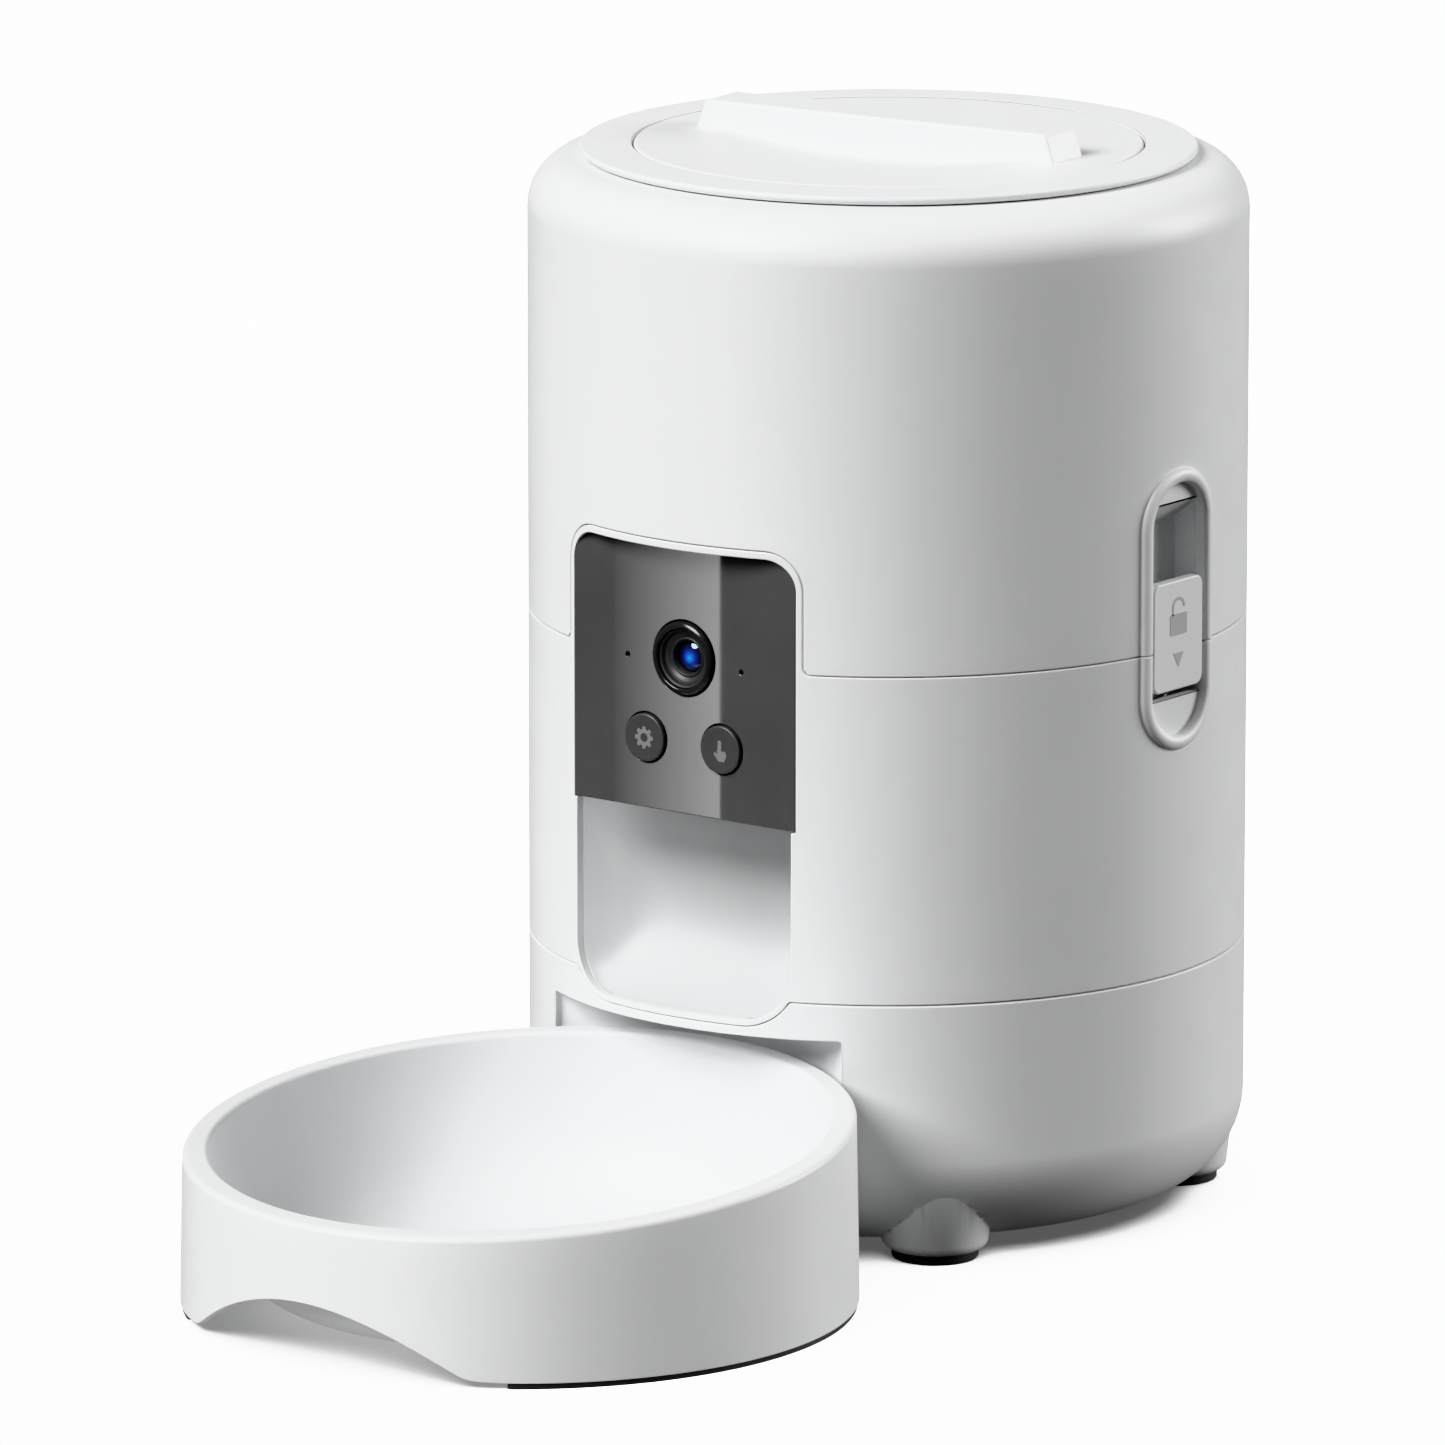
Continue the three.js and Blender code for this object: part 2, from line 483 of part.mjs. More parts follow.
add('motor', cut(join(motorBody, rod(16, 102, 108.1, 0, MOTOR_Y, 20)), rod(2.2, 90, 115, 0, MOTOR_Y, 12),
  ...[-1, 1].map((side) => rod(1.7, 98, 115, side * SCREW_X, MOTOR_Y, 8))), STEEL);
[-1, 1].forEach((side, i) => {
  const x = side * SCREW_X;
  const head = rod(2.6, 111.3, 113, x, MOTOR_Y, 10);
  add(`motor_screw_${i + 1}`, join(head, rod(1.4, 100, 111.5, x, MOTOR_Y, 8)), STEEL);
});
add('main_board', block(-42, 42, 72, 73.6, 80, 148), BOARD);

// ---------- hopper ----------
function hopperShell() {
  const low = MID_TOP + SEAM;
  const radius = SHELL_TOP - 0.2 - SHOULDER_Z;
  const outer = turned([[0, low], [BODY_R, low], ...arc(BODY_R - radius, SHOULDER_Z, radius, 0, 82, 4),
    [NECK_R + 3, SHELL_TOP], [0, SHELL_TOP]]);
  const inside = turned([[0, low - 1], [BODY_R - WALL, low - 1],
    ...arc(BODY_R - radius, SHOULDER_Z, radius - WALL, 0, 70, 3), [NECK_R + 2.6, 291],
    [NECK_R + 2.6, 286], [NECK_R, 286], [NECK_R, SHELL_TOP + 1], [0, SHELL_TOP + 1]]);
  const slopeOutline = polygon([[LATCH_BACK - 1, 199.9], [98.5, 207.3], [98.5, 214], [LATCH_BACK - 1, 214]]);
  const slope = frontPrism(slopeOutline, -LATCH_HALF - 1, LATCH_HALF + 1);
  const keeper = block(LATCH_BACK - 1, 93, -6, 6, 171.5, 174);
  const walls = join(cut(outer, inside), bothSides(latchPocket(low, 215.2)));
  return cut(join(cut(walls, bothSides(latchSpace(low - 1, LATCH_TOP))), bothSides(slope), bothSides(keeper)),
    frontPrism(tongueOutline(SEAM), -BODY_R - 1, -60));
}
add('hopper_shell', hopperShell(), WHITE);

function hopperBin() {
  const top = 279;
  const keepOut = (grow) => join(block(-42 - grow, 42 + grow, -110, -74.4 + grow, 150, 202.4 + grow),
    bothSides(block(LATCH_BACK - 2.6 - grow, 110, -15 - grow, 15 + grow, 150, 216.5 + grow)));
  const outer = turned([[0, 166], [60.5, 166], [62, 172], [95.5, 214], [96.6, 220], [96.6, top],
    [0, top]], 36);
  const inside = turned([[0, 160], [58, 160], [58.4, 172.6], [93.4, 216], [94.2, 221], [94.2, top + 1],
    [0, top + 1]], 36);
  return cut(cut(outer, keepOut(0)), cut(inside, keepOut(2)));
}
add('hopper_bin', hopperBin(), finish(0xe3e6e8, 0.35));

// ---------- lid ----------
const LID_FLOOR = 279.6;
const BOLT_ANGLES = [90, 210, 330];
function lidFrame() {
  const frame = turned([[KNOB_R + 0.4, 294.5], [76, 294.5], [76, LID_FLOOR + 1.6], [6.3, LID_FLOOR + 1.6],
    [6.3, LID_FLOOR], [78, LID_FLOOR], [78, 294.5], [84.6, 294.5], [LID_R, 295.4], [LID_R, 296.1],
    [84.7, LID_TOP], [KNOB_R + 0.4, LID_TOP]]);
  const bearing = ring(14.5, 12.4, LID_FLOOR + 1, 288);
  const windows = BOLT_ANGLES.map((angle) => block(-6.4, 6.4, 70, 80, 281.9, 286.1).rotate([0, 0, angle]));
  return cut(join(frame, bearing), ...windows);
}
add('lid_frame', lidFrame(), WHITE);

// Shallow ball-shaped hollows on both sides of the straight bar make room for the fingers.
function lidKnob() {
  const disc = turned([[0, 290.4], [KNOB_R, 290.4], [KNOB_R, LID_TOP - 0.6], [KNOB_R - 0.6, LID_TOP],
    [0, LID_TOP]]);
  const depth = 3.5;
  const reach = 46;
  const ball = (reach * reach + depth * depth) / 2 / depth;
  const rise = THREE.MathUtils.radToDeg(Math.asin(reach / ball));
  const scoop = turned([...arc(0, LID_TOP - depth + ball, ball, -90, -90 + rise, 5),
    [reach, 310], [0, 310]], 32);
  const bar = frontPrism(polygon([[-58, 290.6], [58, 290.6], [58, LID_TOP], [54.8, HANDLE_TOP - 1],
    [53.8, HANDLE_TOP], [-53.8, HANDLE_TOP], [-54.8, HANDLE_TOP - 1], [-58, LID_TOP]]), -8.15, 8.15);
  const hub = ring(12.1, 6.5, 281.6, 291, 0, 0, 24);
  return join(cut(disc, scoop), bar, hub).rotate([0, 0, HANDLE_TURN * 180 / Math.PI]);
}
add('lid_knob', lidKnob(), WHITE);
add('lid_seal', turned([[78.4, 289.6], [82.5, 290.6], [82.5, 293.2], [78.4, 294.1]], 32), SILICONE);
BOLT_ANGLES.forEach((angle, i) =>
  add(`lid_bolt_${i + 1}`, block(-6, 6, 56, 77.4, 282.2, 285.6).rotate([0, 0, angle]), GEAR));
add('desiccant_cup', join(ring(34, 32, 262, LID_FLOOR - GAP, 0, 0, 24),
  rod(33, LID_FLOOR - 2, LID_FLOOR - GAP, 0, 0, 24),
  rod(6, LID_FLOOR - 2, LID_FLOOR + 1.4, 0, 0, 20)), WHITE);
const capSlots = [-2, -1, 1, 2].map((i) => block(-14, 14, 7 * i - 1, 7 * i + 1, 250, 263));
add('desiccant_cap', join(cut(rod(36, 259.4, 261.7, 0, 0, 24), ...capSlots),
  ring(31, 29.4, 261, 268, 0, 0, 24),
  block(-20, 20, -1.5, 1.5, 255, 260)), WHITE);

// ---------- bowl ----------
// One moulding: a dish with a flat bottom, a tilted rim and a skirt down to the table, with a low front arch.
function bowl() {
  const tilt = 5.2 * Math.PI / 180;
  const rimZ = 48.5;
  const skirtTop = 91.1;
  const high = 70;
  const outside = turned([[0, 1.6], [BOWL_R, 1.6], [skirtTop, high], [0, high]], BOWL_ROUND);
  const dishOutside = turned([[0, 3], [62, 3], [73.5, 8], [82, 19], [86.2, 36], [87.2, high],
    [0, high]], BOWL_ROUND);
  const dishInside = turned([[0, 5.2], [61, 5.2], [71.8, 10], [79.8, 20], [83.9, 36.5], [84.9, high + 1],
    [0, high + 1]], BOWL_ROUND);
  const skirtInside = turned([[0, 0], [BOWL_R - 2.2, 0], [BOWL_R - 2.2, 1.6], [skirtTop - 2.2, high + 1],
    [0, high + 1]], BOWL_ROUND);
  const rimRing = turned([[84, 30], [skirtTop + 1, 30], [skirtTop + 1, high], [84, high]], BOWL_ROUND);
  const above = (level) => block(-120, 120, -120, 120, 0, 80).rotate([tilt * 180 / Math.PI, 0, 0])
    .translate([0, 0, level]);
  const underRim = cut(rimRing, above(rimZ), above(rimZ - 82.5));
  const arch = new THREE.Shape();
  arch.moveTo(-50, -1);
  arch.quadraticCurveTo(-44, 5, -33, 10.5);
  arch.quadraticCurveTo(-14, 19.5, 2, 18.6);
  arch.quadraticCurveTo(20, 16.5, 34, 9.3);
  arch.quadraticCurveTo(41, 4, 46, -1);
  const skirt = cut(outside, skirtInside);
  const walls = cut(join(skirt, dishOutside), above(rimZ));
  return cut(join(walls, common(underRim, outside)), common(dishInside, block(-99, 99, -99, 99, 3, 90)),
    frontPrism(arch, -95, -75)).translate([0, BOWL_Y, 0]);
}
add('bowl', bowl(), WHITE);
const footRing = turned([[BOWL_R - 2.6, 0], [BOWL_R - 0.4, 0], [BOWL_R - 0.2, 1.3],
  [BOWL_R - 2.6, 1.3]], BOWL_ROUND);
add('bowl_foot_ring', cut(footRing, block(-51, 47, -99, -60, -1, 3)).translate([0, BOWL_Y, 0]), RUBBER);

export default feeder;
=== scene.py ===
# Automatic pet feeder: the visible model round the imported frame.
# Shapes are worked out in millimetres about the body's upright axis and become metres in to_metres().
import json
import math

import bmesh
import bpy
from mathutils import Matrix, Vector
from mathutils.geometry import delaunay_2d_cdt


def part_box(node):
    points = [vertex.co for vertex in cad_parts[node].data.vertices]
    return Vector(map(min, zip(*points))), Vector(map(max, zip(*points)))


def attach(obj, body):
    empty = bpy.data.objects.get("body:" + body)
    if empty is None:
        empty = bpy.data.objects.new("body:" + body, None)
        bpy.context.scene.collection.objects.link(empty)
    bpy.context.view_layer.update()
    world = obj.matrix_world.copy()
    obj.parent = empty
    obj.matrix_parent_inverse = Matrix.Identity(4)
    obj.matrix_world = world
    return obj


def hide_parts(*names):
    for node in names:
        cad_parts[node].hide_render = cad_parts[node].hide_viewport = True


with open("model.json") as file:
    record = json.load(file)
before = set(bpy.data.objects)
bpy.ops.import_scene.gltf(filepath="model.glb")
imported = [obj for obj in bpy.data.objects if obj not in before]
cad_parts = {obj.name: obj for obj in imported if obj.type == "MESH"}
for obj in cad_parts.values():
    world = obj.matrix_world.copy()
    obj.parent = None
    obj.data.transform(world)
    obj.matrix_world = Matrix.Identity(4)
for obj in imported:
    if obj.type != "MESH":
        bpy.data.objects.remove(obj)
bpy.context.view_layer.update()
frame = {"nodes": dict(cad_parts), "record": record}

MM = 0.001
TAU = 2 * math.pi


def cad(node):
    """Lowest and highest corner of a CAD node, in millimetres about the body's axis."""
    low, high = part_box(node)
    return [Vector((p.x / MM, (p.y - AXIS_Y) / MM, p.z / MM)) for p in (low, high)]


SHELL_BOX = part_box("hopper_shell")
AXIS_Y = (SHELL_BOX[0].y + SHELL_BOX[1].y) / 2

# ---------- sizes, read from the frame where a node shows them ----------
R = cad("base_shell")[1].x
WALL = 2.6
SEAM = 0.24
BASE_LOW = 4.4
BASE_TOP = cad("base_shell")[1].z
MID_LOW = BASE_TOP + SEAM
HOPPER_LOW = cad("hopper_shell")[0].z
MID_TOP = HOPPER_LOW - SEAM
SHOULDER_R = 14.5
SHELL_TOP = cad("hopper_shell")[1].z
SHOULDER_Z = SHELL_TOP - 0.2 - SHOULDER_R
SHOULDER_TURN = math.radians(84)
NECK_R = 83.0
BASE_FILLET = 26.0
# Lengths round the casing from its front: the back, where a sheet meets itself, and the middle of a latch.
BACK_S = math.pi * R
LATCH_S = R * math.pi / 2
CASING_STEP = 6
# Within this angle of the front the casing's inside is cut straight, fading over the last part of it.
STRAIGHT_TURN = 0.75
STRAIGHT_FADE = 0.25

TONGUE_HALF = 40.0
TONGUE_TOP = cad("mid_shell")[1].z
TONGUE_CORNER = 11.0
TRAY_BACK = -87.6
TONGUE_BACK = -77.5
PANEL_LOW, PANEL_HIGH = cad("control_panel")
PANEL_Y = PANEL_LOW.y
PANEL_HALF = PANEL_HIGH.x
PANEL_CORNER = 8.7
PANEL_GAP = 0.05
PANEL_STEP = 3.6
SILL = PANEL_LOW.z - 0.3
BEZEL_LOW, BEZEL_HIGH = cad("camera_bezel")
LENS_Z = (BEZEL_LOW.z + BEZEL_HIGH.z) / 2
BUTTON_LOW, BUTTON_HIGH = cad("feed_button")
BUTTON_X = (BUTTON_LOW.x + BUTTON_HIGH.x) / 2
BUTTON_Z = (BUTTON_LOW.z + BUTTON_HIGH.z) / 2
BUTTON_R = (BUTTON_HIGH.x - BUTTON_LOW.x) / 2
BUTTON_GAP = 0.3
LENS_HOLE_R = 8.9
PIN_X = 19.6
PIN_Z = 165.2

MOUTH_HALF = 37.0
MOUTH_BOTTOM = 69.2
MOUTH_TOP = 120.5
MOUTH_CORNER = 14.0
MOUTH_BACK = -73.0
LIP = 1.6

LATCH_HALF = 12.0
LATCH_LOW = 154.5
LATCH_HIGH = 201.2
LATCH_BACK = 89.7
BEAD = 4.0
BEAD_RISE = 1.5

BOWL_Y = -165.4
BOWL_FOOT_R = cad("bowl")[1].x
BOWL_RIM_R = 91.1
KNOB_R = 70.5
R_LID = 85.6
HANDLE_TURN = math.radians(6.6)
FOOT_PADS = [cad(f"foot_pad_{i}")[0] for i in range(1, 5)]
FOOT_PAD_R = 12.0
COVER_LOW, COVER_HIGH = cad("battery_cover")
SPEAKER = (cad("speaker")[0] + cad("speaker")[1]) / 2
INLET_Z = 46.0
RECESS_R = 95.0
RECESS_HALF = 49.6
RECESS_TOP = 64.8

# ---------- camera ----------
AZIMUTH = math.radians(37.625)
ELEVATION = math.radians(12.447)
DISTANCE = 4.08996
LENS_LENGTH = 365.95
AIM_HEIGHT = 0.150
AIM_LEFT = 0.045912
AIM_DOWN = 0.017128


# ---------- helpers ----------
def add_object(name, data):
    obj = bpy.data.objects.new(name, data)
    bpy.context.scene.collection.objects.link(obj)
    return obj


def fill(node, **values):
    """Sets a node's inputs by name, where an underscore stands for a space."""
    for name, value in values.items():
        node.inputs[name.replace("_", " ")].default_value = value
    return node


def to_metres(p):
    return Vector((p[0] * MM, p[1] * MM + AXIS_Y, p[2] * MM))


class Body:
    """Corners and faces gathered in millimetres, one closed surface after another."""

    def __init__(self):
        self.points = []
        self.faces = []

    def add(self, points, faces):
        start = len(self.points)
        self.points += [tuple(p) for p in points]
        self.faces += [tuple(i + start for i in f) for f in faces]
        return self

    def merge(self, *others):
        for other in others:
            self.add(other.points, other.faces)
        return self

    def moved(self, matrix):
        moved = Body()
        moved.points = [tuple(matrix @ Vector(p)) for p in self.points]
        flip = matrix.determinant() < 0
        moved.faces = [f[::-1] if flip else f for f in self.faces]
        return moved

    def mesh(self, name="shape", weld=0.002):
        mesh = bpy.data.meshes.new(name)
        mesh.from_pydata([to_metres(p) for p in self.points], [], self.faces)
        work = bmesh.new()
        work.from_mesh(mesh)
        bmesh.ops.remove_doubles(work, verts=work.verts, dist=weld * MM)
        bmesh.ops.dissolve_degenerate(work, edges=work.edges, dist=weld * MM)
        bmesh.ops.recalc_face_normals(work, faces=work.faces)
        work.to_mesh(mesh)
        work.free()
        return mesh


def body_of_mesh(mesh):
    result = Body()
    result.points = [(v.co.x / MM, (v.co.y - AXIS_Y) / MM, v.co.z / MM) for v in mesh.vertices]
    result.faces = [tuple(p.vertices) for p in mesh.polygons]
    return result


def combine(first, others, operation):
    """Joins, cuts or intersects closed bodies one after another."""
    for other in others:
        a = add_object("a", first.mesh())
        b = add_object("b", other.mesh())
        modifier = a.modifiers.new("boolean", "BOOLEAN")
        modifier.operation = operation
        modifier.solver = "MANIFOLD"
        modifier.object = b
        evaluated = a.evaluated_get(bpy.context.evaluated_depsgraph_get())
        first = body_of_mesh(evaluated.to_mesh())
        evaluated.to_mesh_clear()
        for o in (a, b):
            mesh = o.data
            bpy.data.objects.remove(o)
            bpy.data.meshes.remove(mesh)
    return first


def cut(first, *others):
    return combine(first, others, "DIFFERENCE")


def join(first, *others):
    return combine(first, others, "UNION")


def common(first, *others):
    return combine(first, others, "INTERSECT")


def spin(profile, segments=128, at=(0, 0), closed=True):
    """Turns a list of (radius, z) about an upright axis."""
    points, faces, rows = [], [], []
    for r, z in profile:
        if r < 1e-6:
            rows.append([len(points)] * segments)
            points.append((at[0], at[1], z))
            continue
        rows.append(list(range(len(points), len(points) + segments)))
        for k in range(segments):
            angle = TAU * k / segments
            points.append((at[0] + r * math.sin(angle), at[1] - r * math.cos(angle), z))
    count = len(profile)
    for i in range(count if closed else count - 1):
        a, b = rows[i], rows[(i + 1) % count]
        for k in range(segments):
            n = (k + 1) % segments
            ring = [a[k], a[n], b[n], b[k]]
            ring = [p for j, p in enumerate(ring) if p != ring[j - 1]]
            if len(ring) >= 3:
                faces.append(tuple(ring))
    return Body().add(points, faces)


def along_y(body, x, z):
    """Lays a turned body on its side: its upright axis becomes +Y, through (x, z)."""
    turn = Matrix(((1, 0, 0, x), (0, 0, 1, 0), (0, -1, 0, z), (0, 0, 0, 1)))
    return body.moved(turn)


def cylinder(radius, low, high, segments, at=(0, 0)):
    return spin([(0, low), (radius, low), (radius, high), (0, high)], segments, at, closed=False)


def turned_ring(inner, outer, low, high, segments):
    return spin([(inner, low), (outer, low), (outer, high), (inner, high)], segments)


def rod_y(radius, front, back, x, z, segments=64):
    return along_y(cylinder(radius, front, back, segments), x, z)


def loft(rings):
    """A closed body through rings of points, with a flat face over each end."""
    count = len(rings[0])
    last = count * (len(rings) - 1)
    faces = [tuple(range(count))[::-1], tuple(range(last, last + count))]
    for start in range(0, last, count):
        for k in range(count):
            n = (k + 1) % count
            faces.append((start + k, start + n, start + count + n, start + count + k))
    return Body().add([p for ring in rings for p in ring], faces)


def prism(outline, low, high, axis):
    """Pushes an outline along an axis. The outline holds the two other coordinates in X, Y, Z order."""
    def place(a, b, c):
        return {"x": (c, a, b), "y": (a, c, b), "z": (a, b, c)}[axis]

    return loft([[place(a, b, c) for a, b in outline] for c in (low, high)])


def block(x0, x1, y0, y1, z0, z1):
    return prism([(x0, y0), (x1, y0), (x1, y1), (x0, y1)], z0, z1, "z")


def arc(cx, cy, radius, start, end, steps):
    """Points of an arc from one angle to another, in degrees."""
    angles = [math.radians(start + (end - start) * i / steps) for i in range(steps + 1)]
    return [(cx + radius * math.cos(a), cy + radius * math.sin(a)) for a in angles]


def plate_outline(half, low, high, low_r, high_r, steps=10):
    """An upright plate's outline with its own radius at the lower and the upper corners."""
    def corner(cx, cy, radius, start):
        return arc(cx, cy, radius, start, start + 90, steps) if radius else [(cx, cy)]

    right = corner(half - low_r, low + low_r, low_r, -90) + corner(half - high_r, high - high_r, high_r, 0)
    left = corner(high_r - half, high - high_r, high_r, 90) + corner(low_r - half, low + low_r, low_r, 180)
    return right + left


def subdivide(points, step, closed=True):
    """The same outline with no stretch longer than step."""
    result = []
    count = len(points)
    for i in range(count if closed else count - 1):
        a, b = Vector(points[i]), Vector(points[(i + 1) % count])
        parts = max(1, math.ceil((b - a).length / step - 1e-6))
        result += [tuple(a.lerp(b, k / parts)) for k in range(parts)]
    if not closed:
        result.append(tuple(points[-1]))
    return result


def inside(point, polygon):
    x, y = point
    hit = False
    for i in range(len(polygon)):
        (x0, y0), (x1, y1) = polygon[i - 1], polygon[i]
        if (y0 > y) != (y1 > y) and x < (x1 - x0) * (y - y0) / (y1 - y0) + x0:
            hit = not hit
    return hit


def thickened(front, back, faces, meets=lambda a, b: False):
    """A closed body from a sheet's front and back points: both skins, and walls along every open edge.

    meets(a, b) tells of an edge that lies on another edge of the sheet, so that it needs no wall."""
    count = len(front)
    used = {(f[i - 1], f[i]) for f in faces for i in range(len(f))}
    walls = [(b, a, a + count, b + count) for a, b in used if (b, a) not in used and not meets(a, b)]
    rear = [tuple(i + count for i in (f[0], *f[:0:-1])) for f in faces]
    return Body().add(front + back, faces + rear + sorted(walls))


def sheet(outline, holes, guides, columns, rows, place, wrap=None, clear=1.2):
    """A thick sheet. place(s, t, side) gives the point on its front, side 0, or its back, side 1.

    Guides are extra lines that the faces follow. Columns and rows give the grid inside the outline.
    A sheet that goes all the way round meets itself at s = wrap, and gets no walls there."""
    loops = [list(outline)] + [list(h) for h in holes]
    points, edges = [], []
    for loop in loops:
        start = len(points)
        points += [Vector(p) for p in loop]
        edges += [(start + i, start + (i + 1) % len(loop)) for i in range(len(loop))]
    for line in guides:
        start = len(points)
        points += [Vector(p) for p in line]
        edges += [(start + i, start + i + 1) for i in range(len(line) - 1)]
    near = {}
    for p in points:
        near.setdefault((round(p.x / clear), round(p.y / clear)), []).append(p)

    def is_free(p):
        cx, cy = round(p.x / clear), round(p.y / clear)
        close = [q for i in (-1, 0, 1) for j in (-1, 0, 1) for q in near.get((cx + i, cy + j), [])]
        return all((q - p).length > clear for q in close)

    for s in columns:
        for t in rows:
            p = Vector((s, t))
            if is_free(p) and inside(p, loops[0]) and not any(inside(p, h) for h in loops[1:]):
                points.append(p)
    found, _, triangles = delaunay_2d_cdt(points, edges, [], 0, 1e-4)[:3]
    kept = []
    for tri in triangles:
        middle = sum((found[i] for i in tri), Vector((0, 0))) / len(tri)
        if inside(middle, loops[0]) and not any(inside(middle, h) for h in loops[1:]):
            kept.append(tuple(tri))
    front, back = [[place(p.x, p.y, side) for p in found] for side in (0, 1)]

    def meets(a, b):
        return bool(wrap) and min(abs(found[a].x), abs(found[b].x)) > wrap - 1e-3

    return thickened(front, back, kept, meets)


def steps_between(low, high, step):
    count = max(1, round((high - low) / step))
    return [low + (high - low) * i / count for i in range(count + 1)]


# ---------- pieces ----------
def piece(name, body, owner, material, stands_for=(), bevel=0.35, segments=3, angle=32, weld=0.002):
    """Makes a visible piece that rides on a CAD body and stands for CAD nodes."""
    obj = add_object(name, body.mesh(name, weld))
    obj.data.materials.append(material)
    obj.data.shade_smooth()
    if bevel:
        add_bevel(obj, bevel, segments, angle)
    else:
        obj.data.set_sharp_from_angle(angle=math.radians(angle))
    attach(obj, owner)
    if stands_for:
        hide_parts(*stands_for)
    return obj


def add_bevel(obj, width, segments, angle):
    modifier = obj.modifiers.new("edges", "BEVEL")
    modifier.width = width * MM
    modifier.segments = segments
    modifier.limit_method = "ANGLE"
    modifier.angle_limit = math.radians(angle)
    modifier.use_clamp_overlap = False
    modifier.miter_outer = "MITER_ARC"
    modifier.harden_normals = True
    weighted = obj.modifiers.new("normals", "WEIGHTED_NORMAL")
    weighted.keep_sharp = True
    weighted.weight = 60


# ---------- materials ----------
class Nodes:
    """A new node material with short ways to add what most of them need."""

    def __init__(self, name, color, roughness, metallic=0.0):
        self.material = bpy.data.materials.new(name)
        self.material.use_nodes = True
        self.tree = self.material.node_tree
        self.shader = self.tree.nodes["Principled BSDF"]
        fill(self.shader, Base_Color=(*color, 1), Roughness=roughness, Metallic=metallic)
        self.place = self.node("TexCoord").outputs["Object"]

    def node(self, kind, **values):
        return fill(self.tree.nodes.new(f"ShaderNode{kind}"), **values)

    def link(self, a, b):
        self.tree.links.new(a, b)

    def noise(self, scale, detail=3, stretch=None):
        node = self.node("TexNoise", Scale=scale, Detail=detail)
        source = self.place
        if stretch:
            mapping = self.node("Mapping", Scale=stretch)
            self.link(source, mapping.inputs["Vector"])
            source = mapping.outputs["Vector"]
        self.link(source, node.inputs["Vector"])
        return node.outputs["Fac"]

    def ramp(self, source, low=0, high=1, start=0.3, end=0.7):
        """A number that goes from low to high while the source goes from start to end."""
        node = self.node("MapRange", From_Min=start, From_Max=end, To_Min=low, To_Max=high)
        self.link(source, node.inputs["Value"])
        return node.outputs["Result"]

    def shade(self, source, color_a, color_b):
        """A base colour between two colours."""
        node = self.node("Mix")
        node.data_type = "RGBA"
        fill(node, A=(*color_a, 1), B=(*color_b, 1))
        self.link(source, node.inputs["Factor"])
        self.link(node.outputs["Result"], self.shader.inputs["Base Color"])

    def bump(self, source, strength, distance):
        node = self.node("Bump", Strength=strength, Distance=distance)
        if self.shader.inputs["Normal"].is_linked:
            self.link(self.shader.inputs["Normal"].links[0].from_socket, node.inputs["Normal"])
        self.link(source, node.inputs["Height"])
        self.link(node.outputs["Normal"], self.shader.inputs["Normal"])


def tinted(color, factor):
    return tuple(min(1.0, c * factor) for c in color)


def moulded(name, color, roughness, grain=0.25, coat=0.0, cell=1500.0):
    """Moulded plastic: fine spark-eroded grain, faint flow marks and slightly uneven gloss."""
    n = Nodes(name, color, roughness)
    broad = n.ramp(n.noise(14, 2))
    n.shade(broad, tinted(color, 0.985), tinted(color, 1.01))
    fine = n.noise(cell, 2)
    n.link(n.ramp(n.noise(60, 4), roughness - 0.04, roughness + 0.04), n.shader.inputs["Roughness"])
    n.bump(fine, grain, 0.00004)
    n.bump(n.noise(25, 2), 0.06, 0.0004)
    fill(n.shader, Coat_Weight=coat, Coat_Roughness=0.05, IOR=1.49)
    return n.material


def glossy(name, color, roughness):
    """Polished acrylic: nearly mirror-smooth, with a trace of haze, fine scratches and ripple."""
    n = Nodes(name, color, roughness)
    n.shade(n.ramp(n.noise(30, 2)), tinted(color, 0.94), tinted(color, 1.06))
    scratches = n.noise(500, 2, (1, 1, 0.02))
    n.link(n.ramp(scratches, roughness * 0.7, roughness * 1.3), n.shader.inputs["Roughness"])
    n.bump(n.noise(9, 1), 0.01, 0.0002)
    fill(n.shader, IOR=1.5)
    return n.material


def metal(name, color, roughness, brushed=(1, 1, 40)):
    """Plated or drawn metal with fine lines along one way."""
    n = Nodes(name, color, roughness, 1.0)
    lines = n.noise(300, 3, brushed)
    n.shade(n.ramp(lines), tinted(color, 0.85), tinted(color, 1.1))
    n.link(n.ramp(lines, roughness - 0.08, roughness + 0.1), n.shader.inputs["Roughness"])
    n.bump(lines, 0.1, 0.00005)
    return n.material


def rubbery(name, color, roughness=0.8):
    """Dull elastomer with a pebbled skin and a little bloom."""
    n = Nodes(name, color, roughness)
    n.shade(n.ramp(n.noise(45, 4)), tinted(color, 0.8), tinted(color, 1.3))
    n.bump(n.noise(1400, 3), 0.4, 0.00006)
    fill(n.shader, Sheen_Weight=0.15)
    return n.material


def board_material():
    """Circuit board: solder mask over a grid of tracks with bright pads."""
    n = Nodes("circuit_board", (0.02, 0.12, 0.06), 0.35)
    tracks = n.node("TexBrick", Scale=160, Mortar_Size=0.03, Color1=(0.018, 0.12, 0.055, 1),
                    Color2=(0.03, 0.17, 0.08, 1), Mortar=(0.05, 0.24, 0.11, 1))
    n.link(n.place, tracks.inputs["Vector"])
    n.link(tracks.outputs["Color"], n.shader.inputs["Base Color"])
    n.bump(tracks.outputs["Fac"], 0.3, 0.00005)
    return n.material


